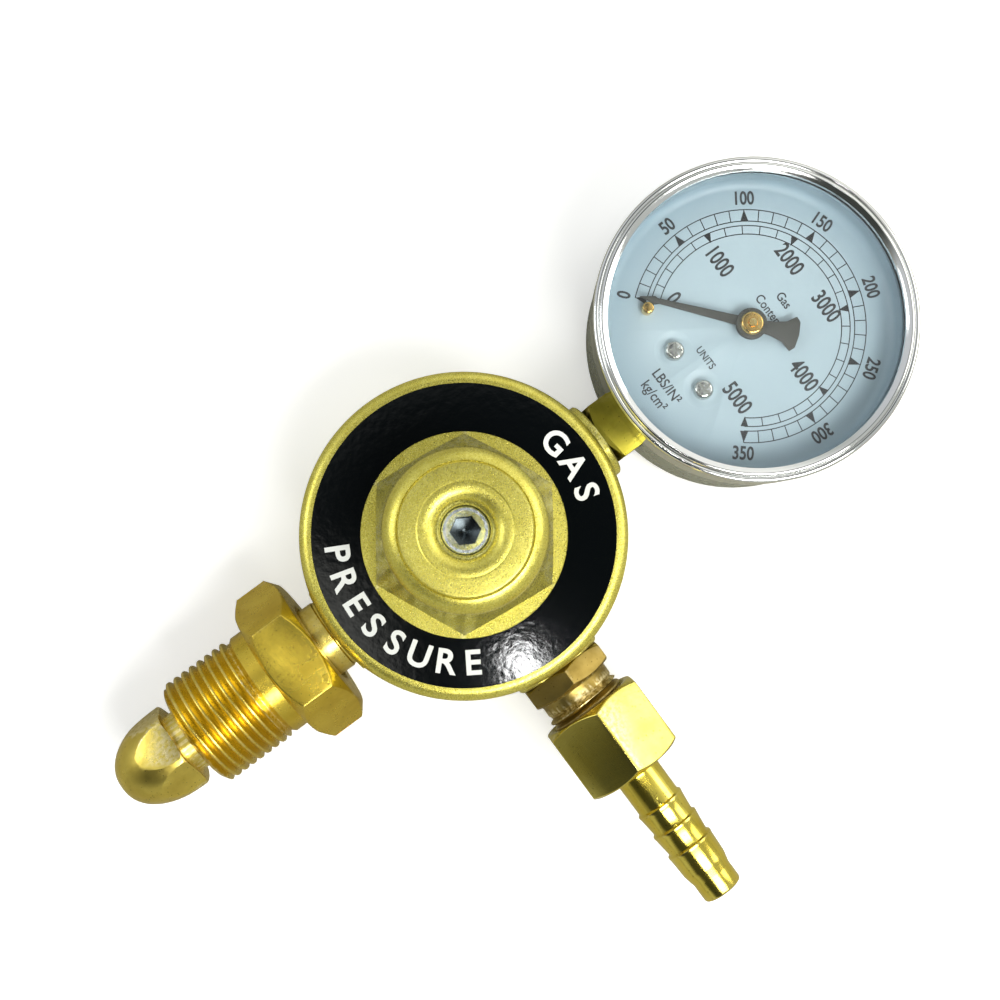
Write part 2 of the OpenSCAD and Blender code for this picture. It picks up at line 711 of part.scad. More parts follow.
module throttle_screw() {
    color(brass) port(0) ring(bore_r - touch, 0.25, port_end + 1.5, port_end + 5);
}

module gauge_case() {
    r_in = case_r - case_wall;
    color([0.70, 0.72, 0.70]) difference() {
        at_gauge() turned(concat([[0, case_z]], arc(case_r - 2, case_z + 2, 2, -90, 0),
            [[case_r, rim_z - 0.3], [case_r - 0.3, rim_z], [r_in, rim_z]],
            [[r_in, case_z + 3]], arc(r_in - 2, case_z + 3.1, 2, 0, -90, 4),
            [[0, case_z + case_wall]]));
        // hole for the square shank
        port(0) translate([-stem_af / 2 - seat_gap, -stem_af / 2 - seat_gap, gauge_face + 2])
            cube([stem_af + 2 * seat_gap, stem_af + 2 * seat_gap, case_r]);
        at_gauge() for (x = case_screws_x) translate([x, 0, case_z - 1]) cylinder(r = 1.5 + fit, h = 5);
    }
}

module pan_screw(head_r, head_h, shank_r, length, slot = 0.6) {
    difference() {
        union() {
            turned(concat([[0, 0], [head_r, 0]],
                arc(head_r - head_h * 0.6, head_h * 0.4, head_h * 0.6, 0, 90, 4), [[0, head_h]]));
            translate([0, 0, -length]) cylinder(r = shank_r, h = length + eps);
        }
        for (a = [0, 90]) rotate([0, 0, a]) translate([-head_r * 0.65, -slot / 2, head_h * 0.45])
            cube([head_r * 1.3, slot, head_h]);
    }
}

module case_screws() {
    color(steel) at_gauge() for (x = case_screws_x)
        translate([x, 0, case_z]) rotate([180, 0, 0]) pan_screw(2.8, 1.8, 1.5, 6.5);
}

module gauge_bezel() {
    open_r = bezel_open_d / 2;
    seat_r = case_r + touch;
    color("silver") at_gauge() turned(concat(
        [[seat_r, rim_z - bezel_skirt], [bezel_r - 0.5, rim_z - bezel_skirt], [bezel_r - 0.3, rim_z + 1]],
        arc(bezel_r - 0.6, bezel_top - 1.2, 0.6, -30, 110, 6),
        [[bezel_r - 1, bezel_top - 0.85]],
        arc(bezel_r - 1.9, bezel_top - 0.9, 0.9, 30, 110, 4),
        [[open_r, window_z + window_t + 0.55], [open_r, window_z + window_t],
        [seat_r, window_z + window_t]]));
}

module window_gasket() {
    color("black") at_gauge() ring(case_r - 0.1, bezel_open_d / 2 + 0.4, rim_z, rim_z + gasket_t);
}

module gauge_window() {
    color("lightblue", 0.35) at_gauge()
        translate([0, 0, window_z]) cylinder(r = case_r - 0.15, h = window_t);
}

module gauge_dial() {
    color([0.85, 0.90, 0.94]) at_gauge() difference() {
        translate([0, 0, dial_z]) cylinder(d = dial_d, h = dial_t);
        translate([0, 0, dial_z - 1]) cylinder(r = arbor_r + 0.5, h = 3);
        for (s = [-1, 1]) translate([dial_screw_x, s * dial_screw_y, dial_z - 1])
            cylinder(r = 1.25 + fit, h = 3);
        stop_at() translate([0, 0, dial_z - 1]) cylinder(r = 0.6 + 0.02, h = 3);
    }
}

module dial_screws() {
    color(steel) at_gauge() for (s = [-1, 1])
        translate([dial_screw_x, s * dial_screw_y, dial_top]) pan_screw(2, 1.3, 1.25, 5.5);
}

module stop_at() {
    rotate([0, 0, stop_angle]) translate([stop_r, 0, 0]) children();
}

module stop_pin() {
    color(brass) at_gauge() stop_at() {
        translate([0, 0, dial_z - 0.4]) cylinder(r = 0.6, h = dial_t + 1);
        translate([0, 0, dial_top]) cylinder(r = 1.2, h = 2.4);
    }
}

// ================= pointer and movement =================
module gauge_pointer() {
    color(dark) at_gauge() rotate([0, 0, zero_angle]) difference() {
        union() {
            translate([0, 0, pointer_z]) linear_extrude(pointer_t) {
                polygon([[0, 1], [pointer_len - 3.6, 0.5], [pointer_len - 3, 0.75], [pointer_len, 0],
                    [pointer_len - 3, -0.75], [pointer_len - 3.6, -0.5], [0, -1]]);
                // counterweight fan
                polygon([[0, 1.1], [-9.1, 2.85], [-9.5, 0], [-9.1, -2.85], [0, -1.1]]);
            }
            translate([0, 0, pointer_z - 0.4]) cylinder(r = 3.1, h = pointer_t + 0.8);
        }
        translate([0, 0, pointer_z - 1]) cylinder(r = arbor_r, h = 4);
    }
}

module pointer_hub() {
    hub_z = pointer_z + pointer_t + 0.4;
    color(brass) at_gauge() difference() {
        turned(concat([[0, hub_z], [2.3, hub_z]], arc(1.7, hub_z + 0.2, 0.6, 0, 90, 4), [[0, hub_z + 0.8]]));
        translate([0, 0, hub_z - 1]) cylinder(r = arbor_r, h = 4);
    }
}

// One straight-flanked tooth on a root circle, pointing along +X
module tooth(root_r, pitch_r, tip_r, thick) {
    polygon([[root_r - 0.1, thick * 0.72], [pitch_r, thick / 2], [tip_r, thick * 0.2],
        [tip_r, -thick * 0.2], [pitch_r, -thick / 2], [root_r - 0.1, -thick * 0.72]]);
}

module pinion() {
    thick = PI * gear_module / 2 - 0.1;
    color(brass) at_gauge() {
        translate([0, 0, back_plate_z])
            cylinder(r = arbor_r, h = pointer_z + pointer_t + 1.6 - back_plate_z);
        translate([0, 0, sector_z - 0.3]) linear_extrude(sector_t + 0.6) {
            circle(r = pinion_pr - 1.1 * gear_module);
            for (i = [0 : pinion_teeth - 1]) rotate(sector_dir + i * 360 / pinion_teeth)
                tooth(pinion_pr - 1.1 * gear_module, pinion_pr, pinion_pr + 0.75 * gear_module, thick);
        }
    }
}

module hairspring() {
    turns = 4.5;
    n = 90;
    r0 = arbor_r + 0.25;
    r1 = norm(hair_stud) - 0.75;
    w = 0.12;
    start = 180 - 360 * (turns - floor(turns));
    points = [for (i = [0 : n]) let (u = i / n, a = start + 360 * turns * u, r = r0 + (r1 - r0) * u)
        each [[(r - w) * cos(a), (r - w) * sin(a), hair_z], [(r + w) * cos(a), (r + w) * sin(a), hair_z],
            [(r + w) * cos(a), (r + w) * sin(a), hair_z + hair_h],
            [(r - w) * cos(a), (r - w) * sin(a), hair_z + hair_h]]];
    sides = [for (i = [0 : n - 1]) for (k = [0 : 3]) each [
        [4 * i + k, 4 * i + 4 + (k + 1) % 4, 4 * i + 4 + k],
        [4 * i + k, 4 * i + (k + 1) % 4, 4 * i + 4 + (k + 1) % 4]]];
    color(dark) at_gauge() polyhedron(points,
        concat([[3, 2, 1, 0]], sides, [[4 * n, 4 * n + 1, 4 * n + 2, 4 * n + 3]]), convexity = 8);
}

// Toothed sector with its arbor and the tail that the link pulls
module sector_gear() {
    thick = PI * gear_module / 2 - 0.1;
    step = 360 / sector_teeth;
    root_r = sector_pr - 1.1 * gear_module;
    first = floor(-(sector_swing + 4) / step);
    last = 2;
    color(brass) at_gauge() translate([sector_at[0], sector_at[1], 0]) {
        translate([0, 0, back_plate_z])
            cylinder(r = sector_arbor_r, h = front_plate_z + move_plate_t - back_plate_z);
        translate([0, 0, sector_z]) difference() {
            union() {
                rotate([0, 0, mesh_dir + (first - 0.5) * step])
                    rotate_extrude(angle = (last - first + 1) * step)
                        translate([root_r - 1.6, 0]) square([1.6, sector_t]);
                linear_extrude(sector_t) for (i = [first : last]) rotate(mesh_dir + (i + 0.5) * step)
                    tooth(root_r, sector_pr, sector_pr + 0.75 * gear_module, thick);
                for (i = [first + 1, last - 1]) rotate([0, 0, mesh_dir + i * step])
                    translate([0, -0.7, 0]) cube([root_r - 1, 1.4, sector_t]);
                cylinder(r = 2, h = sector_t);
                rotate([0, 0, tail_dir]) translate([0, -0.9, 0]) cube([tail_len, 1.8, sector_t]);
                rotate([0, 0, tail_dir]) translate([tail_len, 0, 0]) cylinder(r = 1.3, h = sector_t);
            }
            rotate([0, 0, tail_dir]) translate([tail_len, 0, -1])
                cylinder(r = tail_pin_r + 0.25, h = sector_t + 2);
        }
    }
}

module movement_plate() {
    linear_extrude(move_plate_t) difference() {
        intersection() {
            translate([3, -2]) circle(r = 15);
            translate([block_x1 + 0.6, -20]) square([40, 40]);
        }
        circle(r = arbor_r + fit);
        translate(sector_at) circle(r = sector_arbor_r + fit);
    }
}

module movement_back_plate() {
    color(brass) at_gauge() {
        translate([0, 0, back_plate_z]) difference() {
            movement_plate();
            for (p = move_screws_at) translate([p[0], p[1], -1]) cylinder(r = 1 + fit, h = 3);
        }
        translate([hair_stud[0], hair_stud[1], between_z - eps])
            cylinder(r = 0.6, h = hair_z + hair_h - between_z + 0.3);
    }
}

module movement_front_plate() {
    color(brass) at_gauge() translate([0, 0, front_plate_z]) difference() {
        movement_plate();
        for (p = pillars_at) translate([p[0], p[1], -1]) cylinder(r = 0.8, h = 3);
    }
}

module movement_pillars() {
    color(brass) at_gauge() for (p = pillars_at) translate([p[0], p[1], between_z]) {
        cylinder(r = pillar_r, h = plate_gap);
        cylinder(r = 0.75, h = plate_gap + move_plate_t + 0.3);
    }
}

module movement_screws() {
    color(steel) at_gauge() for (p = move_screws_at)
        translate([p[0], p[1], between_z]) pan_screw(1.7, 1, 1, 2.6, 0.4);
}

// Flattened spring tube bent to a C, brazed into the stem block
module bourdon_tube() {
    first = tip_dir + tip_half + 0.2;
    color([0.78, 0.55, 0.35]) at_gauge() rotate([0, 0, first])
        translate([0, 0, port_z]) rotate_extrude(angle = tube_start - first) difference() {
            translate([tube_r, 0]) oval(tube_w / 2, tube_h / 2);
            translate([tube_r, 0]) oval(tube_w / 2 - tube_wall, tube_h / 2 - tube_wall);
        }
}

// Flat-sided oval with round ends
module oval(a, b) {
    polygon(concat(arc(0, b - a, a, 0, 180, 8), arc(0, a - b, a, 180, 360, 8)));
}

module tube_tip() {
    color(brass) at_gauge() rotate([0, 0, tip_dir - tip_half]) translate([0, 0, port_z])
        rotate_extrude(angle = 2 * tip_half) translate([tube_r, 0])
            oval(tube_w / 2 + 0.2, tube_h / 2 + 0.2);
}

// Link from the tube's tip to the sector's tail, with its two pins
module movement_link() {
    color(brass) at_gauge() difference() {
        union() {
            translate([tail_at[0], tail_at[1], 0]) {
                translate([0, 0, link_z]) cylinder(r = 0.9, h = link_t);
                translate([0, 0, sector_z - 0.4]) cylinder(r = tail_pin_r, h = link_z - sector_z + link_t);
                rotate([0, 0, link_dir]) translate([0, -0.8, link_z]) cube([link_len, 1.6, link_t]);
            }
            translate([tip_at[0], tip_at[1], link_z]) cylinder(r = 0.9, h = link_t);
        }
        translate([tip_at[0], tip_at[1], link_z - 1]) cylinder(r = 0.3, h = 3);
    }
}

body();
bonnet();
bonnet_label();
slip_ring();
diaphragm();
diaphragm_plate();
diaphragm_stud();
diaphragm_nut();
adjusting_spring();
spring_button();
adjusting_screw();
nozzle();
nozzle_washer();
valve_poppet();
poppet_seat();
valve_spring();
inlet_nipple();
inlet_filter();
inlet_nut();
outlet_adapter();
union_nut();
hose_barb();
gauge_stem();
throttle_screw();
gauge_case();
case_screws();
gauge_bezel();
window_gasket();
gauge_window();
gauge_dial();
dial_screws();
stop_pin();
gauge_pointer();
pointer_hub();
pinion();
hairspring();
sector_gear();
movement_back_plate();
movement_front_plate();
movement_pillars();
movement_screws();
bourdon_tube();
tube_tip();
movement_link();
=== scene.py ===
import json
import math

import bpy
from mathutils import Matrix, Vector


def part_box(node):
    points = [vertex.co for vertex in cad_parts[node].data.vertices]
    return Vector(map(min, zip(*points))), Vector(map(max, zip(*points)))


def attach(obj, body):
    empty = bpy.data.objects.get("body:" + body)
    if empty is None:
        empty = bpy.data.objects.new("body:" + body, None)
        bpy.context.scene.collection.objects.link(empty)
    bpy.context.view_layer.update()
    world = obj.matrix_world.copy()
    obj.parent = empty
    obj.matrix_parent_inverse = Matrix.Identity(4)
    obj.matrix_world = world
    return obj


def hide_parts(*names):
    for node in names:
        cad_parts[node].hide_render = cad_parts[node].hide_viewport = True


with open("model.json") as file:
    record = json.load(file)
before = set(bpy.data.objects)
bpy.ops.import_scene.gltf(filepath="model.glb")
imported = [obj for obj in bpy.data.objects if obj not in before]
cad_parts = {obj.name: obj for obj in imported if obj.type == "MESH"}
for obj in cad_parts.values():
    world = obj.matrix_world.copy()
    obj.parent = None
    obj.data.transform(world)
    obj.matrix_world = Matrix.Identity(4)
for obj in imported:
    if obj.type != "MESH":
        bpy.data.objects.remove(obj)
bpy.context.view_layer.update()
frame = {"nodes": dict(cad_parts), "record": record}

# ---- Tools: what the sections below share. Sizes are in mm until MM turns them into metres,
# and angles are in degrees. The shapes' tools come first, then the materials'.
MM = 0.001


def only(piece):
    """Leaves this piece alone selected and active, in object mode."""
    bpy.ops.object.select_all(action="DESELECT")
    piece.select_set(True)
    bpy.context.view_layer.objects.active = piece


def settle(piece, place, turn=0):
    """Puts a piece modelled at the origin in its place, turned about the Z axis."""
    only(piece)
    piece.rotation_euler = (0, 0, math.radians(turn))
    piece.location = Vector(place) * MM
    bpy.ops.object.transform_apply(location=True, rotation=True, scale=True)
    return piece


def drawn(name, points, closed=False):
    """Draws a chain of edges through points, and stays in edit mode."""
    bpy.ops.object.select_all(action="DESELECT")
    bpy.ops.mesh.primitive_plane_add(size=MM)
    piece = bpy.context.object
    piece.name = name
    bpy.ops.object.mode_set(mode="EDIT")
    bpy.ops.mesh.select_all(action="SELECT")
    bpy.ops.mesh.merge(type="CENTER")
    places = [Vector(point) * MM for point in points]
    bpy.ops.transform.translate(value=places[0])
    for before, after in zip(places, places[1:] + places[:closed]):
        bpy.ops.mesh.extrude_region_move(TRANSFORM_OT_translate={"value": after - before})
    return piece


def face_outwards():
    """Turns every face of the edited piece outwards and leaves edit mode."""
    bpy.ops.mesh.select_all(action="SELECT")
    bpy.ops.mesh.normals_make_consistent(inside=False)
    bpy.ops.object.mode_set(mode="OBJECT")


def turned(name, outline, steps=96, closed=False):
    """Spins an outline of (radius, height) points about the Z axis."""
    piece = drawn(name, [(r, 0, z) for r, z in outline], closed)
    bpy.ops.mesh.select_all(action="SELECT")
    bpy.ops.mesh.spin(steps=steps, angle=math.tau, center=(0, 0, 0), axis=(0, 0, 1))
    bpy.ops.mesh.select_all(action="SELECT")
    bpy.ops.mesh.remove_doubles(threshold=same_point)
    face_outwards()
    return piece


def bar(name, middle, size, turn=0):
    """A rectangular bar round a place, turned about its own upright axis."""
    bpy.ops.object.select_all(action="DESELECT")
    bpy.ops.mesh.primitive_cube_add(size=1, location=Vector(middle) * MM, rotation=(0, 0, math.radians(turn)))
    piece = bpy.context.object
    piece.name = name
    piece.scale = Vector(size) * MM
    bpy.ops.object.transform_apply(location=True, rotation=True, scale=True)
    return piece


def block(name, low, high):
    """A rectangular bar between two corners."""
    return bar(name, (Vector(low) + Vector(high)) / 2, Vector(high) - Vector(low))


def bow(centre, radius, start, end, count=8):
    """Points on an arc of an outline, from one angle to another in degrees."""
    turns = [math.radians(start + (end - start) * i / count) for i in range(count + 1)]
    return [(centre[0] + radius * math.cos(a), centre[1] + radius * math.sin(a)) for a in turns]


def polar(reach, angle, height, centre_x=0.0):
    """The place at a reach and an angle from an upright axis."""
    return (centre_x + reach * math.cos(math.radians(angle)), reach * math.sin(math.radians(angle)), height)


def combine(piece, tool, how):
    """Joins, cuts or crops a piece with a tool shape, which is used up."""
    only(piece)
    step = piece.modifiers.new("combine", "BOOLEAN")
    step.operation = how
    step.object = tool
    step.solver = "EXACT"
    bpy.ops.object.modifier_apply(modifier=step.name)
    bpy.data.objects.remove(tool)
    return piece


def soften(piece, width, angle=35, segments=3):
    """Rounds every edge sharper than an angle, in degrees, to a small radius in mm."""
    only(piece)
    step = piece.modifiers.new("soften", "BEVEL")
    step.width = width * MM
    step.segments = segments
    step.limit_method = "ANGLE"
    step.angle_limit = math.radians(angle)
    step.harden_normals = False
    bpy.ops.object.modifier_apply(modifier=step.name)
    return piece


def lay(piece, direction, height):
    """Lays a piece modelled along +Z on a port's axis: its z becomes the reach from the body."""
    only(piece)
    piece.rotation_euler = (0, math.pi / 2, math.radians(direction))
    piece.location = (0, 0, height * MM)
    bpy.ops.object.transform_apply(location=True, rotation=True, scale=True)
    return piece


def dress(piece, material, body, smooth=32):
    """Gives a finished piece its material and shading, and hangs it on its CAD body."""
    only(piece)
    bpy.ops.object.shade_smooth_by_angle(angle=math.radians(smooth))
    piece.data.materials.clear()
    piece.data.materials.append(material)
    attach(piece, body)
    return piece


def new_material(name):
    """An empty material with a Principled shader: gives the material, its tree and the shader."""
    material = bpy.data.materials.new(name)
    material.use_nodes = True
    return material, material.node_tree, material.node_tree.nodes["Principled BSDF"]


def connect(tree, node, links):
    """Feeds a node's inputs; each link is (input, an output socket or a plain value)."""
    for name, source in links:
        if isinstance(source, bpy.types.NodeSocket):
            tree.links.new(source, node.inputs[name])
        else:
            node.inputs[name].default_value = source


def add_node(tree, kind, links=(), **settings):
    """Adds a node with its settings and feeds its inputs."""
    made = tree.nodes.new(kind)
    for key, value in settings.items():
        setattr(made, key, value)
    connect(tree, made, links)
    return made


def object_place(tree):
    """The place in the object that is being shaded, in metres."""
    return add_node(tree, "ShaderNodeTexCoord").outputs["Object"]


def maths(tree, how, *values):
    """The result of one step of arithmetic."""
    return add_node(tree, "ShaderNodeMath", enumerate(values), operation=how).outputs[0]


def vector_maths(tree, how, *values):
    """The outputs of one step of arithmetic on vectors."""
    return add_node(tree, "ShaderNodeVectorMath", enumerate(values), operation=how).outputs


def remap(tree, value, start, end, low=0.0, high=1.0):
    """Stretches a value's range from start to end over low to high, and holds it at both."""
    return add_node(tree, "ShaderNodeMapRange", [
        ("Value", value), ("From Min", start), ("From Max", end), ("To Min", low),
        ("To Max", high)]).outputs[0]


def mixed(tree, share, first, second):
    """A colour between two: a share of 0 is all the first and 1 is all the second."""
    return add_node(tree, "ShaderNodeMix", [("Factor", share), (6, first), (7, second)],
                    data_type="RGBA").outputs[2]


def noise(tree, place, scale, detail, roughness=0.5):
    """A cloudy pattern from 0 to 1; the scale is in clouds per metre."""
    return add_node(tree, "ShaderNodeTexNoise", [
        ("Vector", place), ("Scale", scale), ("Detail", detail), ("Roughness", roughness)]).outputs["Fac"]


def relief(tree, height, strength, depth):
    """The normal of a surface with a pattern pressed into it to a depth."""
    return add_node(tree, "ShaderNodeBump", [
        ("Height", height), ("Strength", strength), ("Distance", depth * MM)]).outputs["Normal"]


def shaded(tint, factor, lift=0.0):
    """A colour made darker by a factor, then paler by a lift."""
    return tuple(factor * c + lift for c in tint[:3]) + (1,)


def new_group(name, inputs, outputs):
    """A node group: inputs are (name, type, value) and outputs are (name, type)."""
    tree = bpy.data.node_groups.new(name, "ShaderNodeTree")
    for label, kind, value in inputs:
        socket = tree.interface.new_socket(label, in_out="INPUT", socket_type=kind)
        if value is not None:
            socket.default_value = value
    for label, kind in outputs:
        tree.interface.new_socket(label, in_out="OUTPUT", socket_type=kind)
    return tree, tree.nodes.new("NodeGroupInput").outputs, tree.nodes.new("NodeGroupOutput")


def place_group(tree, group, links):
    """Places a node group in a material with its own values, and gives its outputs."""
    made = tree.nodes.new("ShaderNodeGroup")
    made.node_tree = group
    connect(tree, made, links)
    return made.outputs


# two points closer than this, in metres, are one
same_point = 2e-6
FLOAT = "NodeSocketFloat"
VECTOR = "NodeSocketVector"

# ---- The studio: a pale floor under the part, a broad soft lamp at the outlet side, a small one
# overhead and two fill lamps. The camera looks almost straight down on the adjusting screw,
# turned so that the gauge stands to the upper right.
scene = bpy.context.scene
scene.view_settings.view_transform = "Standard"

camera_place = Vector((-10.4, -8.5, 318)) * MM
camera_aim = Vector((10.24, 1.7, 18)) * MM
picture_right = Vector((0.8057, -0.5924, 0))

look = (camera_aim - camera_place).normalized()
across = (picture_right - look * picture_right.dot(look)).normalized()
upward = across.cross(look)
bpy.ops.object.camera_add(location=camera_place)
camera = bpy.context.object
camera.rotation_euler = Matrix((across, upward, -look)).transposed().to_euler()
camera.data.lens = 54.32
camera.data.sensor_width = 36
camera.data.clip_start = 0.01
scene.camera = camera


def panel_light(name, place, size, power, tint):
    """A soft rectangular lamp that looks at the middle of the part."""
    bpy.ops.object.light_add(type="AREA", location=place)
    lamp = bpy.context.object
    lamp.name = name
    lamp.data.shape = "RECTANGLE"
    lamp.data.size, lamp.data.size_y = size
    lamp.data.energy = power
    lamp.data.color = tint
    lamp.rotation_euler = (Vector((0.01, 0, 0.02)) - Vector(place)).to_track_quat("-Z", "Y").to_euler()
    return lamp


panel_light("overhead_softbox", (0.02, -0.36, 0.58), (0.42, 0.22), 3.3, (1, 0.99, 0.96))
panel_light("right_fill", (0.55, -0.20, 0.35), (0.40, 0.30), 1.0, (1, 0.98, 0.94))
panel_light("left_fill", (-0.42, 0.42, 0.50), (0.30, 0.30), 0.9, (0.96, 0.98, 1))
panel_light("ceiling_lamp", (0.004, -0.067, 0.63), (0.016, 0.026), 0.06, (1, 1, 1))

# The room: pale walls, a brighter side towards the gauge, and the dark shape of whoever leans
# over the table. Each patch has a direction, the angles where it is full and where it is gone,
# and a tint
world = bpy.data.worlds.new("studio")
scene.world = world
world.use_nodes = True
room = world.node_tree
room_way = room.nodes.new("ShaderNodeTexCoord").outputs["Generated"]
room_tone = (0.62, 0.64, 0.62, 1)
room_patches = (
    ((0.9, 0.25, 0.5), 22, 48, (1.25, 1.25, 1.2, 1)),
    ((-0.45, 0.8, 0.75), 18, 42, (0.75, 0.77, 0.8, 1)),
    ((-0.866, 0.0, 0.5), 14, 30, (0.34, 0.34, 0.30, 1)),
    ((-0.534, -0.358, 0.766), 22, 38, (0.06, 0.065, 0.06, 1)),
    ((0.25, 0.40, 1), 9, 18, (0.03, 0.03, 0.028, 1)),
    ((0.03, 0.0, 1), 6.3, 9.5, (0.03, 0.034, 0.034, 1)),
    ((-0.15, 0.03, 1), 4.2, 7, (2.0, 2.0, 1.85, 1)),
)
for aim, full, gone, tint in room_patches:
    facing = vector_maths(room, "DOT_PRODUCT", room_way, Vector(aim).normalized())["Value"]
    cover = add_node(room, "ShaderNodeMapRange", [
        ("Value", facing), ("From Min", math.cos(math.radians(gone))),
        ("From Max", math.cos(math.radians(full)))], interpolation_type="SMOOTHSTEP")
    room_tone = mixed(room, cover.outputs[0], room_tone, tint)
connect(room, room.nodes["Background"], [("Color", room_tone), ("Strength", 0.8)])

bpy.ops.mesh.primitive_plane_add(size=3)
floor = bpy.context.object
floor.name = "studio_floor"
# the metal mirrors a dimmer table than the one the eye sees
paper, paper_tree, paper_shader = new_material("pale_paper")
paper_light = add_node(paper_tree, "ShaderNodeLightPath").outputs
connect(paper_tree, paper_shader, [
    ("Base Color", mixed(paper_tree, paper_light["Is Glossy Ray"], (0.97, 0.97, 0.97, 1),
                         (0.36, 0.35, 0.28, 1))),
    ("Roughness", 0.85),
    ("Emission Color", (1, 1, 1, 1)),
    ("Emission Strength", maths(paper_tree, "MULTIPLY", paper_light["Is Camera Ray"], 0.34)),
])
floor.data.materials.append(paper)

# ---- Body: a hot-forged brass cup with three port bosses, machined inside and sprayed gold.
# The cup takes the diaphragm and the bonnet's thread, and its flat back is what the part
# lies on.

# Flake: tiny plates of metal in the paint, each leaning its own way and of its own brightness
flake_group, flake_in, flake_out = new_group(
    "paint_flake",
    [("Vector", VECTOR, None), ("Size", FLOAT, 0.12)],
    [("Sparkle", FLOAT), ("Height", FLOAT), ("Cloud", FLOAT)],
)
flake_cells = add_node(flake_group, "ShaderNodeTexVoronoi", [
    ("Vector", flake_in["Vector"]), ("Scale", maths(flake_group, "DIVIDE", 1000.0, flake_in["Size"]))])
flake_split = add_node(flake_group, "ShaderNodeSeparateColor", [("Color", flake_cells.outputs["Color"])])
connect(flake_group, flake_out, [
    ("Sparkle", flake_split.outputs[0]),
    ("Height", flake_split.outputs[1]),
    ("Cloud", noise(flake_group, flake_in["Vector"], 260.0, 4.0)),
])

# Edge wear: the mask is 1 where an outside edge is rubbed, broken up by a fine noise
wear_group, wear_in, wear_out = new_group(
    "edge_wear",
    [("Vector", VECTOR, None), ("Amount", FLOAT, 1.0)],
    [("Mask", FLOAT)],
)
wear_edge = remap(wear_group, add_node(wear_group, "ShaderNodeNewGeometry").outputs["Pointiness"], 0.52, 0.60)
wear_break = remap(wear_group, noise(wear_group, wear_in["Vector"], 1400.0, 5.0), 0.35, 0.60)
wear_both = maths(wear_group, "MULTIPLY", wear_edge, wear_break)
connect(wear_group, wear_out, [("Mask", maths(wear_group, "MULTIPLY", wear_both, wear_in["Amount"]))])


def gold_paint():
    """Satin gold spray paint with fine flake over forged and cast metal."""
    material, tree, shader = new_material("satin_gold_paint")
    place = object_place(tree)
    flake = place_group(tree, flake_group, [("Vector", place), ("Size", 0.16)])
    wear = place_group(tree, wear_group, [("Vector", place), ("Amount", 0.5)])
    tone = mixed(tree, flake["Sparkle"], (0.62, 0.54, 0.075, 1), (0.93, 0.85, 0.22, 1))
    aged = mixed(tree, remap(tree, flake["Cloud"], 0.3, 0.7, 0.0, 0.35), tone, (0.54, 0.45, 0.05, 1))
    connect(tree, shader, [
        ("Base Color", mixed(tree, wear["Mask"], aged, (0.92, 0.87, 0.45, 1))),
        ("Roughness", remap(tree, flake["Height"], 0.0, 1.0, 0.25, 0.40)),
        ("Normal", relief(tree, flake["Height"], 0.25, 0.03)),
        ("Metallic", 0.86),
    ])
    return material


satin_gold = gold_paint()

body_low, body_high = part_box("body")
joint_z = body_high.z / MM
port_z = (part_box("inlet_nut")[0].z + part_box("inlet_nut")[1].z) / 2 / MM
wall_r = 30.2
back_r = 22
cup_r = 24
seat_z = 18
low_r = 19.8
low_z = 14
valve_r = 4.6
port_bore_r = 6.55
port_bore_end = 25.6

body_shell = turned("body_forging", [
    (0, 0), (back_r, 0)]
    + [(back_r + (wall_r - back_r) * math.cos(math.radians(a)), 9 + 9 * math.sin(math.radians(a)))
    for a in range(-80, 1, 10)] + [(wall_r, joint_z - 0.6), (wall_r - 0.6, joint_z),
    (cup_r + 0.4, joint_z), (cup_r, joint_z - 0.4), (cup_r, seat_z), (low_r, seat_z), (low_r, low_z),
    (5.05, low_z), (5.05, 10), (valve_r, 10), (valve_r, 3), (0, 3)], steps=128)
# each port: the way it looks, its boss's radius and how far it reaches
ports = ((180, 9.2, -body_low.x / MM), (0, 8.1, body_high.x / MM), (-90, 9.2, -body_low.y / MM))
for direction, boss_r, reach in ports:
    boss = turned("boss", [
        (0, cup_r + 0.8), (boss_r + 2.2, cup_r + 0.8), (boss_r + 2.2, wall_r - 1.4),
        (boss_r + 0.9, wall_r - 0.4), (boss_r + 0.15, wall_r + 0.5), (boss_r, wall_r + 1),
        (boss_r, reach - 0.35), (boss_r - 0.35, reach), (0, reach)], steps=64)
    lay(boss, direction, port_z)
    combine(body_shell, boss, "UNION")
    port_bore = turned("port_bore", [
        (0, port_bore_end), (port_bore_r, port_bore_end), (port_bore_r, 40), (0, 40)], steps=64)
    lay(port_bore, direction, port_z)
    combine(body_shell, port_bore, "DIFFERENCE")
bpy.ops.mesh.primitive_cylinder_add(vertices=64, radius=0.05, depth=0.02,
                                    location=(0, 0, joint_z * MM + 0.01))
combine(body_shell, bpy.context.object, "DIFFERENCE")
dress(body_shell, satin_gold, "regulator")
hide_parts("body")


# ---- Bonnet: a gold-painted casting with a screwed skirt, a cast hex for the spanner and a
# domed barrel. The pressure screw is tapped through the dish in its top.
bonnet_hex_turn = -6.2
thread_bore = 4.55


def hexagon(name, across_flats, envelope, turn=0, edge=0.25):
    """A hexagonal bar along +Z, turned back at its ends to an envelope of (radius, height)."""
    tool = turned("envelope", envelope, steps=128)
    low = min(z for r, z in envelope) - 1
    high = max(z for r, z in envelope) + 1
    bpy.ops.object.select_all(action="DESELECT")
    bpy.ops.mesh.primitive_cylinder_add(vertices=6, radius=across_flats / math.sqrt(3) * MM,
                                        depth=(high - low) * MM,
                                        location=(0, 0, (high + low) / 2 * MM),
                                        rotation=(0, 0, math.radians(turn)))
    piece = bpy.context.object
    piece.name = name
    bpy.ops.object.transform_apply(location=True, rotation=True, scale=True)
    combine(piece, tool, "INTERSECT")
    return soften(piece, edge, angle=22)


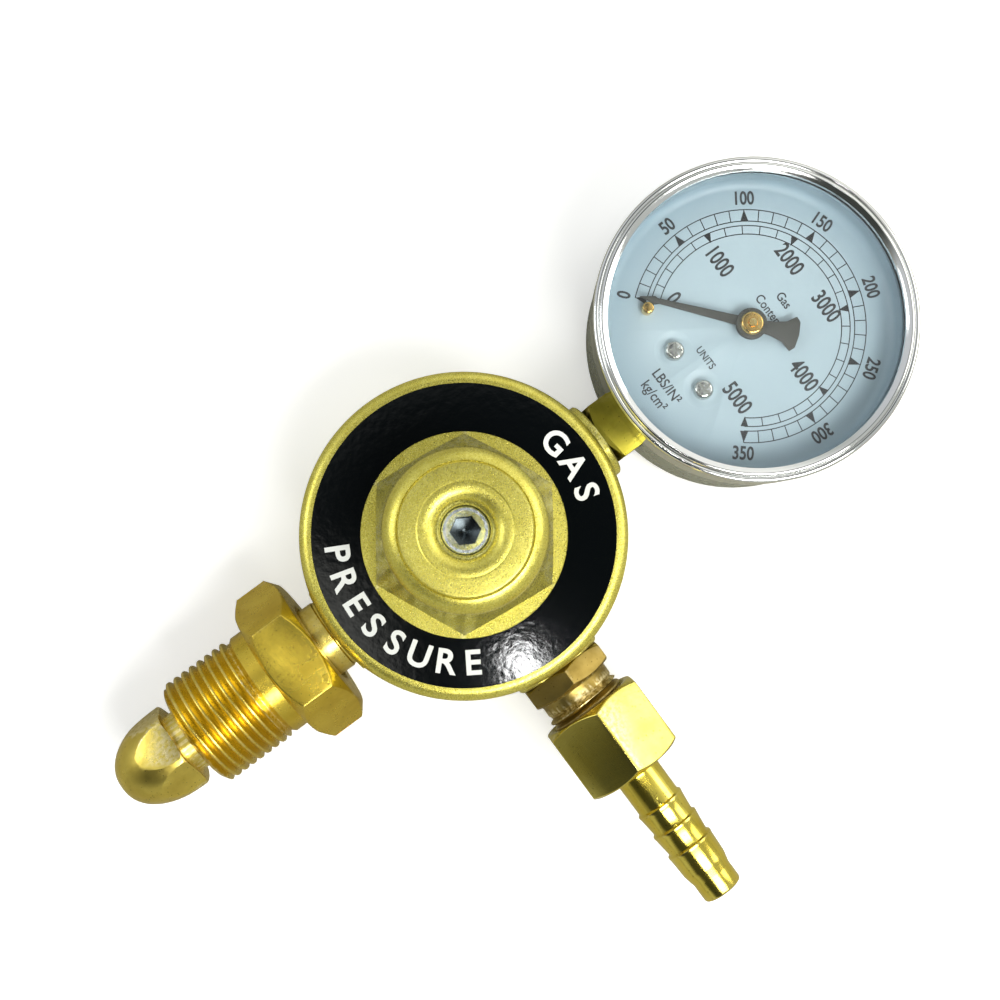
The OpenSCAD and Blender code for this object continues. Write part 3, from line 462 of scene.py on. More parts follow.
bonnet_shell = turned("bonnet_casting", [
    (17.5, 20.2), (23.2, 20.2), (23.9, 20.9), (23.9, 25.5), (30.9, 25.5), (31.7, 26.3)]
    + bow((29.5, 27.8), 2.2, 0, 90) + [(16.2, 30), (15.5, 30.4), (15.3, 31), (15.3, 38.4), (15.05, 39.6),
    (15.0, 44.6)] + bow((11.7, 45.9), 3.55, -14, 78, 14) + [(12.55, 49.45), (12.42, 49.2), (12.3, 49.5),
    (12.0, 49.9), (11.5, 50), (8.9, 50)] + bow((7.9, 46.85), 3.05, 76, 158, 12) + [(4.98, 47.7),
    (4.8, 47.5), (thread_bore, 47.2), (thread_bore, 40), (11, 40), (11, 29.5), (17.5, 23)], steps=160,
    closed=True)
spanner_hex = hexagon("bonnet_hex", 33.2, [
    (0, 29.6), (19.2, 29.6), (19.2, 32.4), (18.7, 33.0), (16.6, 36.1), (15.6, 37.9), (15.1, 39.4),
    (0, 39.4)], turn=bonnet_hex_turn + 30, edge=1.1)
hex_bore = turned("hex_bore", [(0, 28), (14.8, 28), (14.8, 41), (0, 41)])
combine(spanner_hex, hex_bore, "DIFFERENCE")
combine(bonnet_shell, spanner_hex, "UNION")
dress(bonnet_shell, satin_gold, "regulator")
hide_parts("bonnet")


# ---- Label: a ring of printed film stuck on the flange, gloss black with white capitals that
# follow the ring. The film is cut a little short of the hex and of the flange's rounding.
def lettering(name, words, size, place, turn, thick, condense=1.0, bold=0.0):
    """Flat printed capitals or figures, centred on a place and turned about Z."""
    bpy.ops.object.select_all(action="DESELECT")
    bpy.ops.object.text_add()
    mark = bpy.context.object
    mark.name = name
    mark.data.body = words
    mark.data.size = size * MM
    mark.data.align_x = "CENTER"
    mark.data.align_y = "CENTER"
    mark.data.extrude = thick * MM
    mark.data.offset = bold * size * MM
    mark.data.resolution_u = 6
    bpy.ops.object.convert(target="MESH")
    mark = bpy.context.object
    mark.scale = (condense, 1, 1)
    return settle(mark, place, turn)


def gather(name, marks):
    """Joins printed marks into one piece."""
    bpy.ops.object.select_all(action="DESELECT")
    for mark in marks:
        mark.select_set(True)
    bpy.context.view_layer.objects.active = marks[0]
    bpy.ops.object.join()
    marks[0].name = name
    return marks[0]


def gloss_film():
    """Black gloss film with a little dust and faint creases."""
    material, tree, shader = new_material("black_gloss_film")
    place = object_place(tree)
    dust = remap(tree, noise(tree, place, 900.0, 6.0, 0.7), 0.70, 0.86, 0.0, 0.05)
    connect(tree, shader, [
        ("Base Color", mixed(tree, dust, (0.0014, 0.0022, 0.0028, 1), (0.05, 0.055, 0.06, 1))),
        ("Roughness", 0.07),
        ("Normal", relief(tree, noise(tree, place, 650.0, 3.0), 0.22, 0.06)),
    ])
    return material


def flat_ink(name, tint, roughness=0.45):
    """Printing ink: one colour, a little uneven where it lies thin."""
    material, tree, shader = new_material(name)
    thin = remap(tree, noise(tree, object_place(tree), 5000.0, 3.0), 0.35, 0.75, 0.0, 0.25)
    connect(tree, shader, [
        ("Base Color", mixed(tree, thin, tint, shaded(tint, 0.8, 0.08))),
        ("Roughness", roughness),
    ])
    return material


label_film = turned("label_film", [
    (19.8, 29.98), (29.2, 29.98), (29.2, 30.2), (29.15, 30.25), (19.85, 30.25), (19.8, 30.2)], steps=160,
    closed=True)
dress(label_film, gloss_film(), "regulator")
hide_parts("bonnet_label")

label_marks = []
letter_r = 24.6
letter_size = 6.6
label_z = 30.25


def label_letter(name, letter, turn, facing):
    """One printed capital on the label, at an angle round the ring."""
    place = polar(letter_r, turn, label_z)
    label_marks.append(lettering(name, letter, letter_size, place, turn + facing, 0.04, bold=0.022))


for letter, turn in zip("GAS", (9, -4, -17)):
    label_letter("label_" + letter, letter, turn, -90)
for i, letter in enumerate("PRESSURE"):
    label_letter("label_%s_%d" % (letter, i), letter, 152 + 12.2 * i, 90)
label_letters = gather("label_letters", label_marks)
dress(label_letters, flat_ink("white_print", (0.80, 0.82, 0.80, 1)), "regulator")


# ---- Adjusting screw: an M9 socket set screw in zinc-plated steel, with a wide turned chamfer
# round its hex socket. It is tapped through the bonnet and bears on the spring button.
screw_low, screw_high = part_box("adjusting_screw")
screw_top = screw_high.z / MM
screw_tip = screw_low.z / MM


def threaded(name, crest_r, pitch, depth, low, high, lead=0.5, steps=48):
    """A real right-hand thread along +Z, solid to its axis and chamfered at both ends."""
    turns = int((high - low) / pitch) + 3
    root_r = crest_r - depth
    profile = [(root_r, 0), (root_r + 0.08 * depth, 0.07), (crest_r - 0.22 * depth, 0.28),
               (crest_r - 0.04 * depth, 0.38), (crest_r, 0.50), (crest_r - 0.04 * depth, 0.62),
               (crest_r - 0.22 * depth, 0.72), (root_r + 0.08 * depth, 0.93), (root_r, 1)]
    piece = drawn(name, [(r, 0, low + (t - 1.5) * pitch) for r, t in profile])
    bpy.ops.object.mode_set(mode="OBJECT")
    step = piece.modifiers.new("wind", "SCREW")
    step.axis = "Z"
    step.screw_offset = pitch * MM
    step.iterations = turns
    step.steps = steps
    step.render_steps = steps
    step.use_merge_vertices = True
    step.merge_threshold = same_point
    bpy.ops.object.modifier_apply(modifier=step.name)
    bpy.ops.object.mode_set(mode="EDIT")
    bpy.ops.mesh.select_mode(type="VERT")
    bpy.ops.mesh.select_all(action="SELECT")
    bpy.ops.mesh.remove_doubles(threshold=same_point)
    bpy.ops.mesh.select_all(action="DESELECT")
    bpy.ops.mesh.select_non_manifold()
    bpy.ops.mesh.extrude_region_move()
    bpy.ops.mesh.merge(type="COLLAPSE")
    face_outwards()
    crop = turned("crop", [
        (0, low), (root_r - 0.1, low), (crest_r + 0.05, low + lead + 0.05),
        (crest_r + 0.05, high - lead - 0.05), (root_r - 0.1, high), (0, high)], steps=96)
    return combine(piece, crop, "INTERSECT")


def plated_steel(name, tint, roughness, marks=900.0):
    """Bright plated metal: faint tool marks, mottling and rubbed edges."""
    material, tree, shader = new_material(name)
    place = object_place(tree)
    mottle = noise(tree, place, marks, 5.0)
    wear = place_group(tree, wear_group, [("Vector", place), ("Amount", 0.8)])
    tone = mixed(tree, mottle, shaded(tint, 0.72), tint)
    connect(tree, shader, [
        ("Base Color", mixed(tree, wear["Mask"], tone, (0.93, 0.95, 0.96, 1))),
        ("Roughness", remap(tree, mottle, 0.0, 1.0, roughness * 0.7, roughness * 1.4)),
        ("Normal", relief(tree, mottle, 0.12, 0.04)),
        ("Metallic", 1),
    ])
    return material


zinc = plated_steel("zinc_plate", (0.66, 0.75, 0.78, 1), 0.26)
# painted shade: the hex socket below the turned chamfer is darkened nearly to black
zinc_tree = zinc.node_tree
zinc_tint = zinc_tree.nodes["Principled BSDF"].inputs["Base Color"]
zinc_height = add_node(zinc_tree, "ShaderNodeSeparateXYZ", [(0, object_place(zinc_tree))]).outputs["Z"]
socket_shade = remap(zinc_tree, zinc_height, (screw_top - 0.85) * MM, (screw_top - 1.1) * MM, 0.0, 0.92)
socket_shaded = mixed(zinc_tree, socket_shade, zinc_tint.links[0].from_socket, (0.03, 0.04, 0.045, 1))
zinc_tree.links.new(socket_shaded, zinc_tint)
set_screw = threaded("set_screw", 4.5, 1, 0.6, screw_tip, screw_top - 0.6, lead=0.7)
screw_head = turned("screw_head", [
    (0, screw_top - 1.6), (4.1, screw_top - 1.6), (4.45, screw_top - 1.2), (4.45, screw_top - 0.5),
    (4.32, screw_top - 0.14), (4.1, screw_top), (0, screw_top)])
combine(set_screw, screw_head, "UNION")
socket_cut = hexagon("socket_cut", 5, [
    (0, screw_top - 5.6), (0.6, screw_top - 5.2), (3.2, screw_top - 4.6), (3.2, screw_top + 1),
    (0, screw_top + 1)], edge=0.05)
combine(set_screw, socket_cut, "DIFFERENCE")
socket_mouth = turned("socket_mouth", [
    (0, screw_top - 0.95), (2.5, screw_top - 0.95), (3.6, screw_top + 0.02), (3.7, screw_top + 0.6),
    (0, screw_top + 0.6)])
combine(set_screw, socket_mouth, "DIFFERENCE")
dress(set_screw, zinc, "adjusting_screw")
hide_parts("adjusting_screw")

# ---- Inlet nut: one piece of hexagonal brass bar, turned to a smooth collar and a coarse male
# thread that screws into the cylinder valve. It spins freely on the nipple.

# Lathe marks: fine rings about a piece's axis, that run on over its ends
lathe_group, lathe_in, lathe_out = new_group(
    "lathe_marks",
    [("Vector", VECTOR, None), ("Axis", VECTOR, (1, 0, 0)), ("Centre", VECTOR, None), ("Feed", FLOAT, 0.15)],
    [("Cuts", FLOAT)],
)
lathe_from = vector_maths(lathe_group, "SUBTRACT", lathe_in["Vector"], lathe_in["Centre"])[0]
lathe_along = vector_maths(lathe_group, "DOT_PRODUCT", lathe_from, lathe_in["Axis"])["Value"]
lathe_shift = add_node(lathe_group, "ShaderNodeVectorMath", [(0, lathe_in["Axis"]), ("Scale", lathe_along)],
                       operation="SCALE").outputs[0]
lathe_side = vector_maths(lathe_group, "SUBTRACT", lathe_from, lathe_shift)[0]
lathe_path = maths(lathe_group, "ADD", lathe_along, vector_maths(lathe_group, "LENGTH", lathe_side)["Value"])
lathe_rate = maths(lathe_group, "DIVIDE", 1000.0, lathe_in["Feed"])
lathe_noise = add_node(lathe_group, "ShaderNodeTexNoise", [
    ("W", maths(lathe_group, "MULTIPLY", lathe_path, lathe_rate)), ("Scale", 1.0), ("Detail", 3.0),
    ("Roughness", 0.6)], noise_dimensions="1D")
connect(lathe_group, lathe_out, [("Cuts", lathe_noise.outputs["Fac"])])

# Handling marks: dents that catch the light, and scratches that run one way across a piece
mark_group, mark_in, mark_out = new_group(
    "handling_marks",
    [("Vector", VECTOR, None), ("Stretch", VECTOR, (1, 1, 1)), ("Pit Size", FLOAT, 0.5)],
    [("Scratch", FLOAT), ("Pit", FLOAT), ("Tarnish", FLOAT)],
)
mark_long = vector_maths(mark_group, "MULTIPLY", mark_in["Vector"], mark_in["Stretch"])[0]
mark_rate = maths(mark_group, "DIVIDE", 1000.0, mark_in["Pit Size"])
mark_cells = add_node(mark_group, "ShaderNodeTexVoronoi",
                      [("Vector", mark_in["Vector"]), ("Scale", mark_rate)]).outputs
mark_pick = add_node(mark_group, "ShaderNodeSeparateColor", [("Color", mark_cells["Color"])]).outputs[0]
mark_few = maths(mark_group, "GREATER_THAN", mark_pick, 0.80)
connect(mark_group, mark_out, [
    ("Scratch", noise(mark_group, mark_long, 1800.0, 4.0, 0.65)),
    ("Pit", maths(mark_group, "MULTIPLY", mark_few, remap(mark_group, mark_cells["Distance"], 0.28, 0.12))),
    ("Tarnish", noise(mark_group, mark_in["Vector"], 130.0, 5.0, 0.6)),
])


def bare_brass(name, bright, dull, axis, stretch, roughness=0.2, feed=0.15, scratch=0.3, pits=0.6):
    """Machined brass: tool rings about an axis, scratches along it, small pits and uneven tarnish."""
    material, tree, shader = new_material(name)
    place = object_place(tree)
    rings = place_group(tree, lathe_group, [
        ("Vector", place), ("Axis", axis), ("Centre", (0, 0, port_z * MM)), ("Feed", feed)])
    marks = place_group(tree, mark_group, [("Vector", place), ("Stretch", stretch), ("Pit Size", 0.55)])
    wear = place_group(tree, wear_group, [("Vector", place), ("Amount", 0.7)])
    tone = mixed(tree, remap(tree, marks["Tarnish"], 0.35, 0.68), bright, dull)
    spotted = mixed(tree, marks["Pit"], tone, shaded(dull, 0.45))
    cuts = maths(tree, "MULTIPLY", rings["Cuts"], 0.6)
    lines = maths(tree, "MULTIPLY_ADD", marks["Scratch"], scratch, cuts)
    sunk = maths(tree, "MULTIPLY_ADD", marks["Pit"], -pits, lines)
    connect(tree, shader, [
        ("Base Color", mixed(tree, wear["Mask"], spotted, (1, 0.87, 0.50, 1))),
        ("Roughness", remap(tree, marks["Tarnish"], 0.3, 0.7, roughness * 0.75, roughness * 1.35)),
        ("Normal", relief(tree, sunk, 0.5, 0.03)),
        ("Metallic", 1),
    ])
    return material


inlet_brass = bare_brass("inlet_nut_brass", (0.84, 0.63, 0.085, 1), (0.64, 0.45, 0.05, 1), (1, 0, 0),
    (0.12, 1, 1), roughness=0.26, scratch=0.7, pits=0.9)
nut_low, nut_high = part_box("inlet_nut")
nut_back = -nut_high.x / MM
nut_front = -nut_low.x / MM
collar_start = nut_back + 10.4
thread_start = 50.0
inlet_crest_r = 11.45
inlet_pitch = 1.814

inlet_nut = hexagon("inlet_nut", 28.6, [
    (0, nut_back), (14.0, nut_back), (16.53, nut_back + 1.95), (16.53, collar_start - 1.95),
    (14.0, collar_start), (0, collar_start)], edge=0.3)
collar = turned("collar", [
    (0, collar_start - 0.5), (11.9, collar_start - 0.5), (11.9, collar_start - 0.02),
    (11.5, collar_start + 0.12), (11.15, collar_start + 0.5), (11.15, thread_start - 1.3),
    (10.9, thread_start - 1.0), (10.35, thread_start - 0.4), (10.35, thread_start + 0.8),
    (0, thread_start + 0.8)])
combine(inlet_nut, collar, "UNION")
inlet_thread = threaded("inlet_thread", inlet_crest_r, inlet_pitch, 1.107, thread_start - 0.4, nut_front,
    lead=0.8, steps=64)
combine(inlet_nut, inlet_thread, "UNION")
nut_bore = turned("nut_bore", [
    (0, nut_back - 1), (9.1, nut_back - 1), (9.1, nut_back), (8.4, nut_back + 0.7), (8.4, 47.5),
    (6.5, 48.6), (6.5, nut_front - 0.5), (7.0, nut_front), (7.0, nut_front + 1), (0, nut_front + 1)])
combine(inlet_nut, nut_bore, "DIFFERENCE")
lay(inlet_nut, 180, port_z)
dress(inlet_nut, inlet_brass, "inlet_nut")
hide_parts("inlet_nut")

# ---- Inlet nipple: a turned brass tube screwed into the body. The nut pulls its bull nose into
# the cone of the cylinder valve, and a sintered bronze plug in the nose keeps grit out.
nipple_brass = bare_brass("nipple_brass", (0.88, 0.70, 0.15, 1), (0.62, 0.47, 0.085, 1), (1, 0, 0),
    (0.4, 1, 1), roughness=0.28, scratch=0.7)
nose_end = -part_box("inlet_nipple")[0].x / MM
nose_start = 67.91
nipple = turned("nipple", [
    (0, 26.2), (5.85, 26.2), (6.45, 26.9), (6.45, 30.2), (5.85, 30.5), (5.85, 30.7), (7.3, 30.7),
    (7.3, 31.9), (7.5, 32.2), (7.5, 45.2), (7.2, 45.5), (6.45, 46.0), (6.45, nose_start + 0.3),
    (0, nose_start + 0.3)], steps=96)
nose_round = [(9.1 * math.cos(math.radians(a)) ** 0.9,
               nose_start + 0.6 + 14 * math.sin(math.radians(a)) ** 0.9)
              for a in range(0, 86, 5)]
nose = hexagon("nose", 16.2, [
    (0, nose_start), (8.2, nose_start), (8.8, nose_start + 0.2)] + nose_round + [(0, nose_end + 0.4)],
    turn=13, edge=0.22)
combine(nipple, nose, "UNION")
nipple_bore = turned("nipple_bore", [
    (0, 25), (2, 25), (2, nose_end - 6.4), (2.6, nose_end - 6.4), (2.6, nose_end - 0.4),
    (3.0, nose_end + 0.1), (3.0, nose_end + 2), (0, nose_end + 2)], steps=64)
combine(nipple, nipple_bore, "DIFFERENCE")
lay(nipple, 180, port_z)
dress(nipple, nipple_brass, "regulator")
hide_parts("inlet_nipple")

# ---- Outlet adapter: a thin hexagon with a plain shank and an M16 male thread, screwed into the
# body. Its coned mouth takes the hose tail.
outlet_brass = bare_brass("outlet_brass", (0.38, 0.28, 0.08, 1), (0.26, 0.18, 0.04, 1), (0, 1, 0),
    (1, 0.12, 1), roughness=0.36)
adapter_face = 31.8
adapter_end = 36.2
shank_end = 47.7
adapter = hexagon("adapter", 17, [
    (0, adapter_face), (8.3, adapter_face), (9.84, adapter_face + 0.8), (9.84, adapter_end - 0.8),
    (8.3, adapter_end), (0, adapter_end)], turn=30, edge=0.25)
shank = turned("shank", [
    (0, 26.2), (5.85, 26.2), (6.45, 26.9), (6.45, 31.4), (6.9, 32), (7.45, adapter_end - 0.5),
    (8.0, adapter_end - 0.2), (7.6, adapter_end + 0.15), (7.45, adapter_end + 0.5), (7.45, 38.6),
    (7.05, 39.2), (7.05, 40), (0, 40)], steps=96)
combine(adapter, shank, "UNION")
adapter_thread = threaded("adapter_thread", 8, 1.5, 0.92, 39, shank_end, lead=0.8, steps=64)
combine(adapter, adapter_thread, "UNION")
adapter_bore = turned("adapter_bore", [
    (0, 25), (2.75, 25), (2.75, shank_end - 2.6), (5.35, shank_end), (5.9, shank_end + 0.6),
    (0, shank_end + 0.6)], steps=64)
combine(adapter, adapter_bore, "DIFFERENCE")
lay(adapter, -90, port_z)
dress(adapter, outlet_brass, "regulator")
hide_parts("outlet_adapter")

# ---- Union nut: hexagonal brass bar bored out and tapped, with turned-back corners. It runs on
# the adapter's thread and pulls the hose tail into the cone.
union_brass = bare_brass("union_brass", (0.76, 0.65, 0.15, 1), (0.64, 0.52, 0.09, 1), (0, 1, 0),
    (1, 0.12, 1), roughness=0.17, pits=0.9)
union_low, union_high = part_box("union_nut")
union_start = -union_high.y / MM
union_end = -union_low.y / MM
union_nut = hexagon("union_nut", 20, [
    (0, union_start), (9.7, union_start), (11.57, union_start + 1.1), (11.57, union_end - 1.1),
    (9.7, union_end), (0, union_end)], turn=30, edge=0.45)
union_bore = turned("union_bore", [
    (0, union_start - 1), (8.7, union_start - 1), (8.7, union_start), (8.1, union_start + 0.6),
    (8.1, 52.9), (5.4, 52.9), (5.4, union_end - 0.4), (5.8, union_end), (5.8, union_end + 1),
    (0, union_end + 1)], steps=96)
combine(union_nut, union_bore, "DIFFERENCE")
lay(union_nut, -90, port_z)
dress(union_nut, union_brass, "union_nut")
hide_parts("union_nut")

# ---- Hose tail: turned brass with three sharp ridges that grip the hose and a tapered end that
# starts it. Its collar is held by the union nut and its nose seats in the adapter.
tail_brass = bare_brass("hose_tail_brass", (0.90, 0.74, 0.14, 1), (0.74, 0.57, 0.07, 1), (0, 1, 0),
    (1, 0.5, 1), roughness=0.13, feed=0.22, scratch=0.1, pits=0.3)
barb_end = -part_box("hose_barb")[0].y / MM
ridge_points = []
for i, ridge in enumerate((65.1, 70.0, 74.9)):
    ridge_points += [(4.62 - 0.03 * i, ridge - 0.75), (4.66 - 0.03 * i, ridge - 0.32), (4.95, ridge - 0.1),
                     (5.05, ridge + 0.03), (5.05, ridge + 0.45), (4.98, ridge + 0.62)]
hose_tail = turned("hose_tail", [
    (2.25, 46.1), (3.5, 46.1), (5.1, 47.7), (7.1, 47.76), (7.1, 52.84), (5.35, 52.85), (5.35, 56.5),
    (5.2, 56.72), (4.85, 56.9), (4.7, 57.4), (4.65, 58.5)] + ridge_points + [(4.75, 79.8), (4.66, 80.3),
    (4.25, 82.0), (4.2, 82.4), (4.2, barb_end - 0.55), (4.05, barb_end - 0.18), (3.7, barb_end),
    (2.7, barb_end), (2.4, barb_end - 0.15), (2.25, barb_end - 0.5)], steps=96, closed=True)
lay(hose_tail, -90, port_z)
dress(hose_tail, tail_brass, "hose_barb", smooth=28)
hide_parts("hose_barb")

# ---- Gauge stem: square brass bar, its inner end turned to a chamfer against the body boss.
# Inside the case it widens to a block that carries the dial, the tube and the movement.
stem_brass = bare_brass("stem_brass", (0.27, 0.235, 0.03, 1), (0.15, 0.13, 0.012, 1), (1, 0, 0),
    (0.25, 1, 1), roughness=0.32, feed=0.3, scratch=1.4, pits=0.5)
gauge_x = (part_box("gauge_case")[0].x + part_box("gauge_case")[1].x) / 2 / MM
stem_face = 33.2
case_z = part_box("gauge_case")[0].z / MM
dial_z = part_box("gauge_dial")[0].z / MM
case_r = (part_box("gauge_case")[1].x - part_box("gauge_case")[0].x) / 2 / MM

stem = block("gauge_stem", (-6.1, -6.1, stem_face - 1), (6.1, 6.1, gauge_x - case_r + 5.2))
stem_turning = turned("stem_turning", [
    (0, stem_face), (5.7, stem_face), (6.2, stem_face + 0.1), (8.8, stem_face + 1.7), (8.8, 60), (0, 60)],
    steps=96)
combine(stem, stem_turning, "INTERSECT")
soften(stem, 0.28, angle=25)
stem_root = turned("stem_root", [
    (0, 26.2), (5.85, 26.2), (6.45, 26.9), (6.45, 32.6), (5.9, 33.0), (5.9, 34), (0, 34)], steps=64)
combine(stem, stem_root, "UNION")
lay(stem, 0, port_z)
combine(stem, block("dial_block", (gauge_x - case_r + 4.3, -7.5, case_z + 1.1),
    (gauge_x - 11.4, 7.5, dial_z)), "UNION")
combine(stem, block("tongue", (gauge_x - 11.8, -6, 12), (gauge_x + 10, 6, 14)), "UNION")
dress(stem, stem_brass, "regulator")
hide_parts("gauge_stem")

# ---- Gauge case: a deep-drawn brass cup, nickel plated, with a square hole for the stem and two
# screws through its back. The bezel snaps over its open rim.
case_metal = plated_steel("nickel_plate", (0.60, 0.64, 0.62, 1), 0.26, marks=300.0)
rim_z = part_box("gauge_case")[1].z / MM
gauge_case = turned("gauge_case", [
    (0, case_z)] + bow((case_r - 2, case_z + 2), 2, -90, 0) + [(case_r, rim_z - 0.3),
    (case_r - 0.3, rim_z), (case_r - 1.1, rim_z), (case_r - 1.1, case_z + 3.1)]
    + bow((case_r - 3.1, case_z + 3.1), 2, 0, -90) + [(0, case_z + 1.1)], steps=160)


def at_gauge(piece, turn=0):
    """Moves a piece modelled on the Z axis to the gauge's axis."""
    only(piece)
    piece.rotation_euler = (0, 0, math.radians(turn))
    piece.location = (gauge_x * MM, 0, 0)
    bpy.ops.object.transform_apply(location=True, rotation=True, scale=True)
    return piece


at_gauge(gauge_case)
combine(gauge_case, block("stem_hole", (33, -6.2, port_z - 6.2), (gauge_x - 20, 6.2, port_z + 6.2)),
    "DIFFERENCE")
dress(gauge_case, case_metal, "regulator", smooth=40)
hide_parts("gauge_case")

# ---- Bezel: a rolled and chromed steel ring that snaps over the case and holds the window down
# on its gasket. Its outer bead, fine groove and sloping face are rolled in one.
chrome, chrome_tree, chrome_shader = new_material("chrome_plate")
chrome_marks = place_group(chrome_tree, mark_group,
                           [("Vector", object_place(chrome_tree)), ("Pit Size", 0.4)])
connect(chrome_tree, chrome_shader, [
    ("Base Color", (0.86, 0.87, 0.86, 1)),
    ("Roughness", remap(chrome_tree, chrome_marks["Tarnish"], 0.3, 0.75, 0.05, 0.16)),
    ("Normal", relief(chrome_tree, chrome_marks["Scratch"], 0.06, 0.02)),
    ("Metallic", 1),
])

bezel_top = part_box("gauge_bezel")[1].z / MM
window_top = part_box("gauge_window")[1].z / MM
bezel_r = (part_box("gauge_bezel")[1].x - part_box("gauge_bezel")[0].x) / 2 / MM
open_r = bezel_r - 2.9
in_r = case_r + 0.05
bezel = turned("gauge_bezel", [
    (in_r, 24.5), (bezel_r - 0.5, 24.5), (bezel_r - 0.34, 24.7), (bezel_r - 0.3, 31.0),
    (bezel_r - 0.2, 31.8)] + bow((bezel_r - 0.65, bezel_top - 1.2), 0.65, -20, 130, 10)
    + [(bezel_r - 1.15, bezel_top - 0.88), (bezel_r - 1.25, bezel_top - 0.88)]
    + bow((bezel_r - 1.75, bezel_top - 0.78), 0.62, 30, 105, 8) + [(open_r + 0.32, window_top + 0.72),
    (open_r + 0.08, window_top + 0.58), (open_r, window_top + 0.3), (open_r, window_top),
    (in_r, window_top)], steps=192, closed=True)
at_gauge(bezel)
dress(bezel, chrome, "regulator", smooth=30)
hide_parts("gauge_bezel")

# ---- Window: a flat disc of clear glass under the bezel, resting on the black gasket. It lets
# the whole dial be read and shows only a faint reflection.
glass, glass_tree, glass_shader = new_material("window_glass")
connect(glass_tree, glass_shader, [
    ("Base Color", (0.97, 0.985, 0.98, 1)), ("Roughness", 0.01), ("IOR", 1.47), ("Transmission Weight", 1)])
glass_light = add_node(glass_tree, "ShaderNodeLightPath").outputs["Is Shadow Ray"]
glass_clear = add_node(glass_tree, "ShaderNodeBsdfTransparent", [("Color", (0.95, 0.97, 0.97, 1))]).outputs[0]
glass_mix = add_node(glass_tree, "ShaderNodeMixShader", [
    ("Fac", glass_light), (1, glass_shader.outputs[0]), (2, glass_clear)]).outputs[0]
connect(glass_tree, glass_tree.nodes["Material Output"], [("Surface", glass_mix)])


def wear_material(node, material):
    """Gives a CAD node that stays in the picture its finish."""
    thing = frame["nodes"][node]
    thing.data.materials.clear()
    thing.data.materials.append(material)


wear_material("gauge_window", glass)

# ---- Dial: a thin aluminium plate enamelled pale blue, printed in black with two
# pressure scales over 260 degrees, screwed to the stem block by two pan-head screws.
enamel, enamel_tree, enamel_shader = new_material("dial_enamel")
dial_middle = (gauge_x * MM, 0, 0.025)
enamel_from = vector_maths(enamel_tree, "SUBTRACT", object_place(enamel_tree), dial_middle)[0]
enamel_reach = vector_maths(enamel_tree, "LENGTH", enamel_from)["Value"]
# painted shade: the enamel darkens towards its rim, where the bezel and case wall shade the dial
enamel_rim_shade = remap(enamel_tree, enamel_reach, 0.020, 0.0290, 0.0, 0.8)
connect(enamel_tree, enamel_shader, [
    ("Base Color", mixed(enamel_tree, enamel_rim_shade, (0.36, 0.45, 0.50, 1), (0.24, 0.33, 0.39, 1))),
    ("Roughness", 0.35),
])

dial_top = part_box("gauge_dial")[1].z / MM
dial_r = (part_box("gauge_dial")[1].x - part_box("gauge_dial")[0].x) / 2 / MM
dial_screw_x = -15.1
dial_screw_y = 4.75
dial_plate = turned("dial_plate", [
    (1.3, dial_z), (dial_r, dial_z), (case_r - 1.2, dial_z + 1.2), (case_r - 1.2, rim_z - 0.1),
    (case_r - 1.6, rim_z - 0.1)] + bow((dial_r - 1.7, dial_top + 2.0), 2, 0, -90, 8) + [(1.3, dial_top)],
    steps=160, closed=True)
at_gauge(dial_plate)
for side in (-1, 1):
    # each screw sits in a shallow pressed dimple
    dimple = turned("dimple", [
        (0, dial_top - 0.28), (2.6, dial_top - 0.28), (3.0, dial_top - 0.24), (3.9, dial_top - 0.03),
        (4.05, dial_top + 0.02), (4.05, dial_top + 1), (0, dial_top + 1)], steps=64)
    settle(dimple, (gauge_x + dial_screw_x, side * dial_screw_y, 0))
    combine(dial_plate, dimple, "DIFFERENCE")
dress(dial_plate, enamel, "regulator", smooth=20)
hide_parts("gauge_dial")

sweep = 260
ink_z = dial_top
ink_t = 0.03


def dial_place(angle, reach, height=ink_z):
    """The place on the dial at an angle from its top, anticlockwise, and a distance from its centre."""
    return polar(reach, angle, height, gauge_x)


def scale_angle(part):
    """The angle of a part, 0 to 1, of the scale: it starts at the lower left and runs clockwise."""
    return sweep / 2 - sweep * part


def scale_line(reach, width=0.2):
    """A printed arc of the scale."""
    bpy.ops.object.select_all(action="DESELECT")
    bpy.ops.mesh.primitive_plane_add(size=MM)
    line = bpy.context.object
    bpy.ops.object.mode_set(mode="EDIT")
    bpy.ops.mesh.select_all(action="SELECT")
    bpy.ops.transform.resize(value=(width, ink_t, 1))
    bpy.ops.transform.rotate(value=math.pi / 2, orient_axis="X", center_override=(0, 0, 0))
    bpy.ops.transform.translate(value=Vector((reach, 0, ink_z + ink_t / 2)) * MM)
    bpy.ops.transform.rotate(value=math.radians(-sweep / 2), orient_axis="Z", center_override=(0, 0, 0))
    bpy.ops.mesh.spin(steps=130, angle=math.radians(sweep), center=(0, 0, 0), axis=(0, 0, 1))
    face_outwards()
    return at_gauge(line)


def scale_tick(angle, inner, outer, width=0.19):
    """A printed radial line of the scale."""
    middle = dial_place(angle, (inner + outer) / 2, ink_z + ink_t / 2)
    return bar("tick", middle, (outer - inner, width, ink_t), angle)


def scale_wedge(angle, base, apex, width=1.6):
    """A printed triangle that points from a base radius to an apex radius."""
    bpy.ops.object.select_all(action="DESELECT")
    bpy.ops.mesh.primitive_cylinder_add(vertices=3, radius=1, depth=1)
    wedge = bpy.context.object
    # the three corners start at +Y: turn the first to the radius
    settle(wedge, (0, 0, 0), -90)
    wedge.scale = Vector(((apex - base) / 1.5, width / 1.732, ink_t)) * MM
    bpy.ops.object.transform_apply(location=True, rotation=True, scale=True)
    settle(wedge, dial_place(angle, base + (apex - base) / 3, ink_z + ink_t / 2), angle)
    bpy.ops.object.mode_set(mode="EDIT")
    face_outwards()
    return wedge


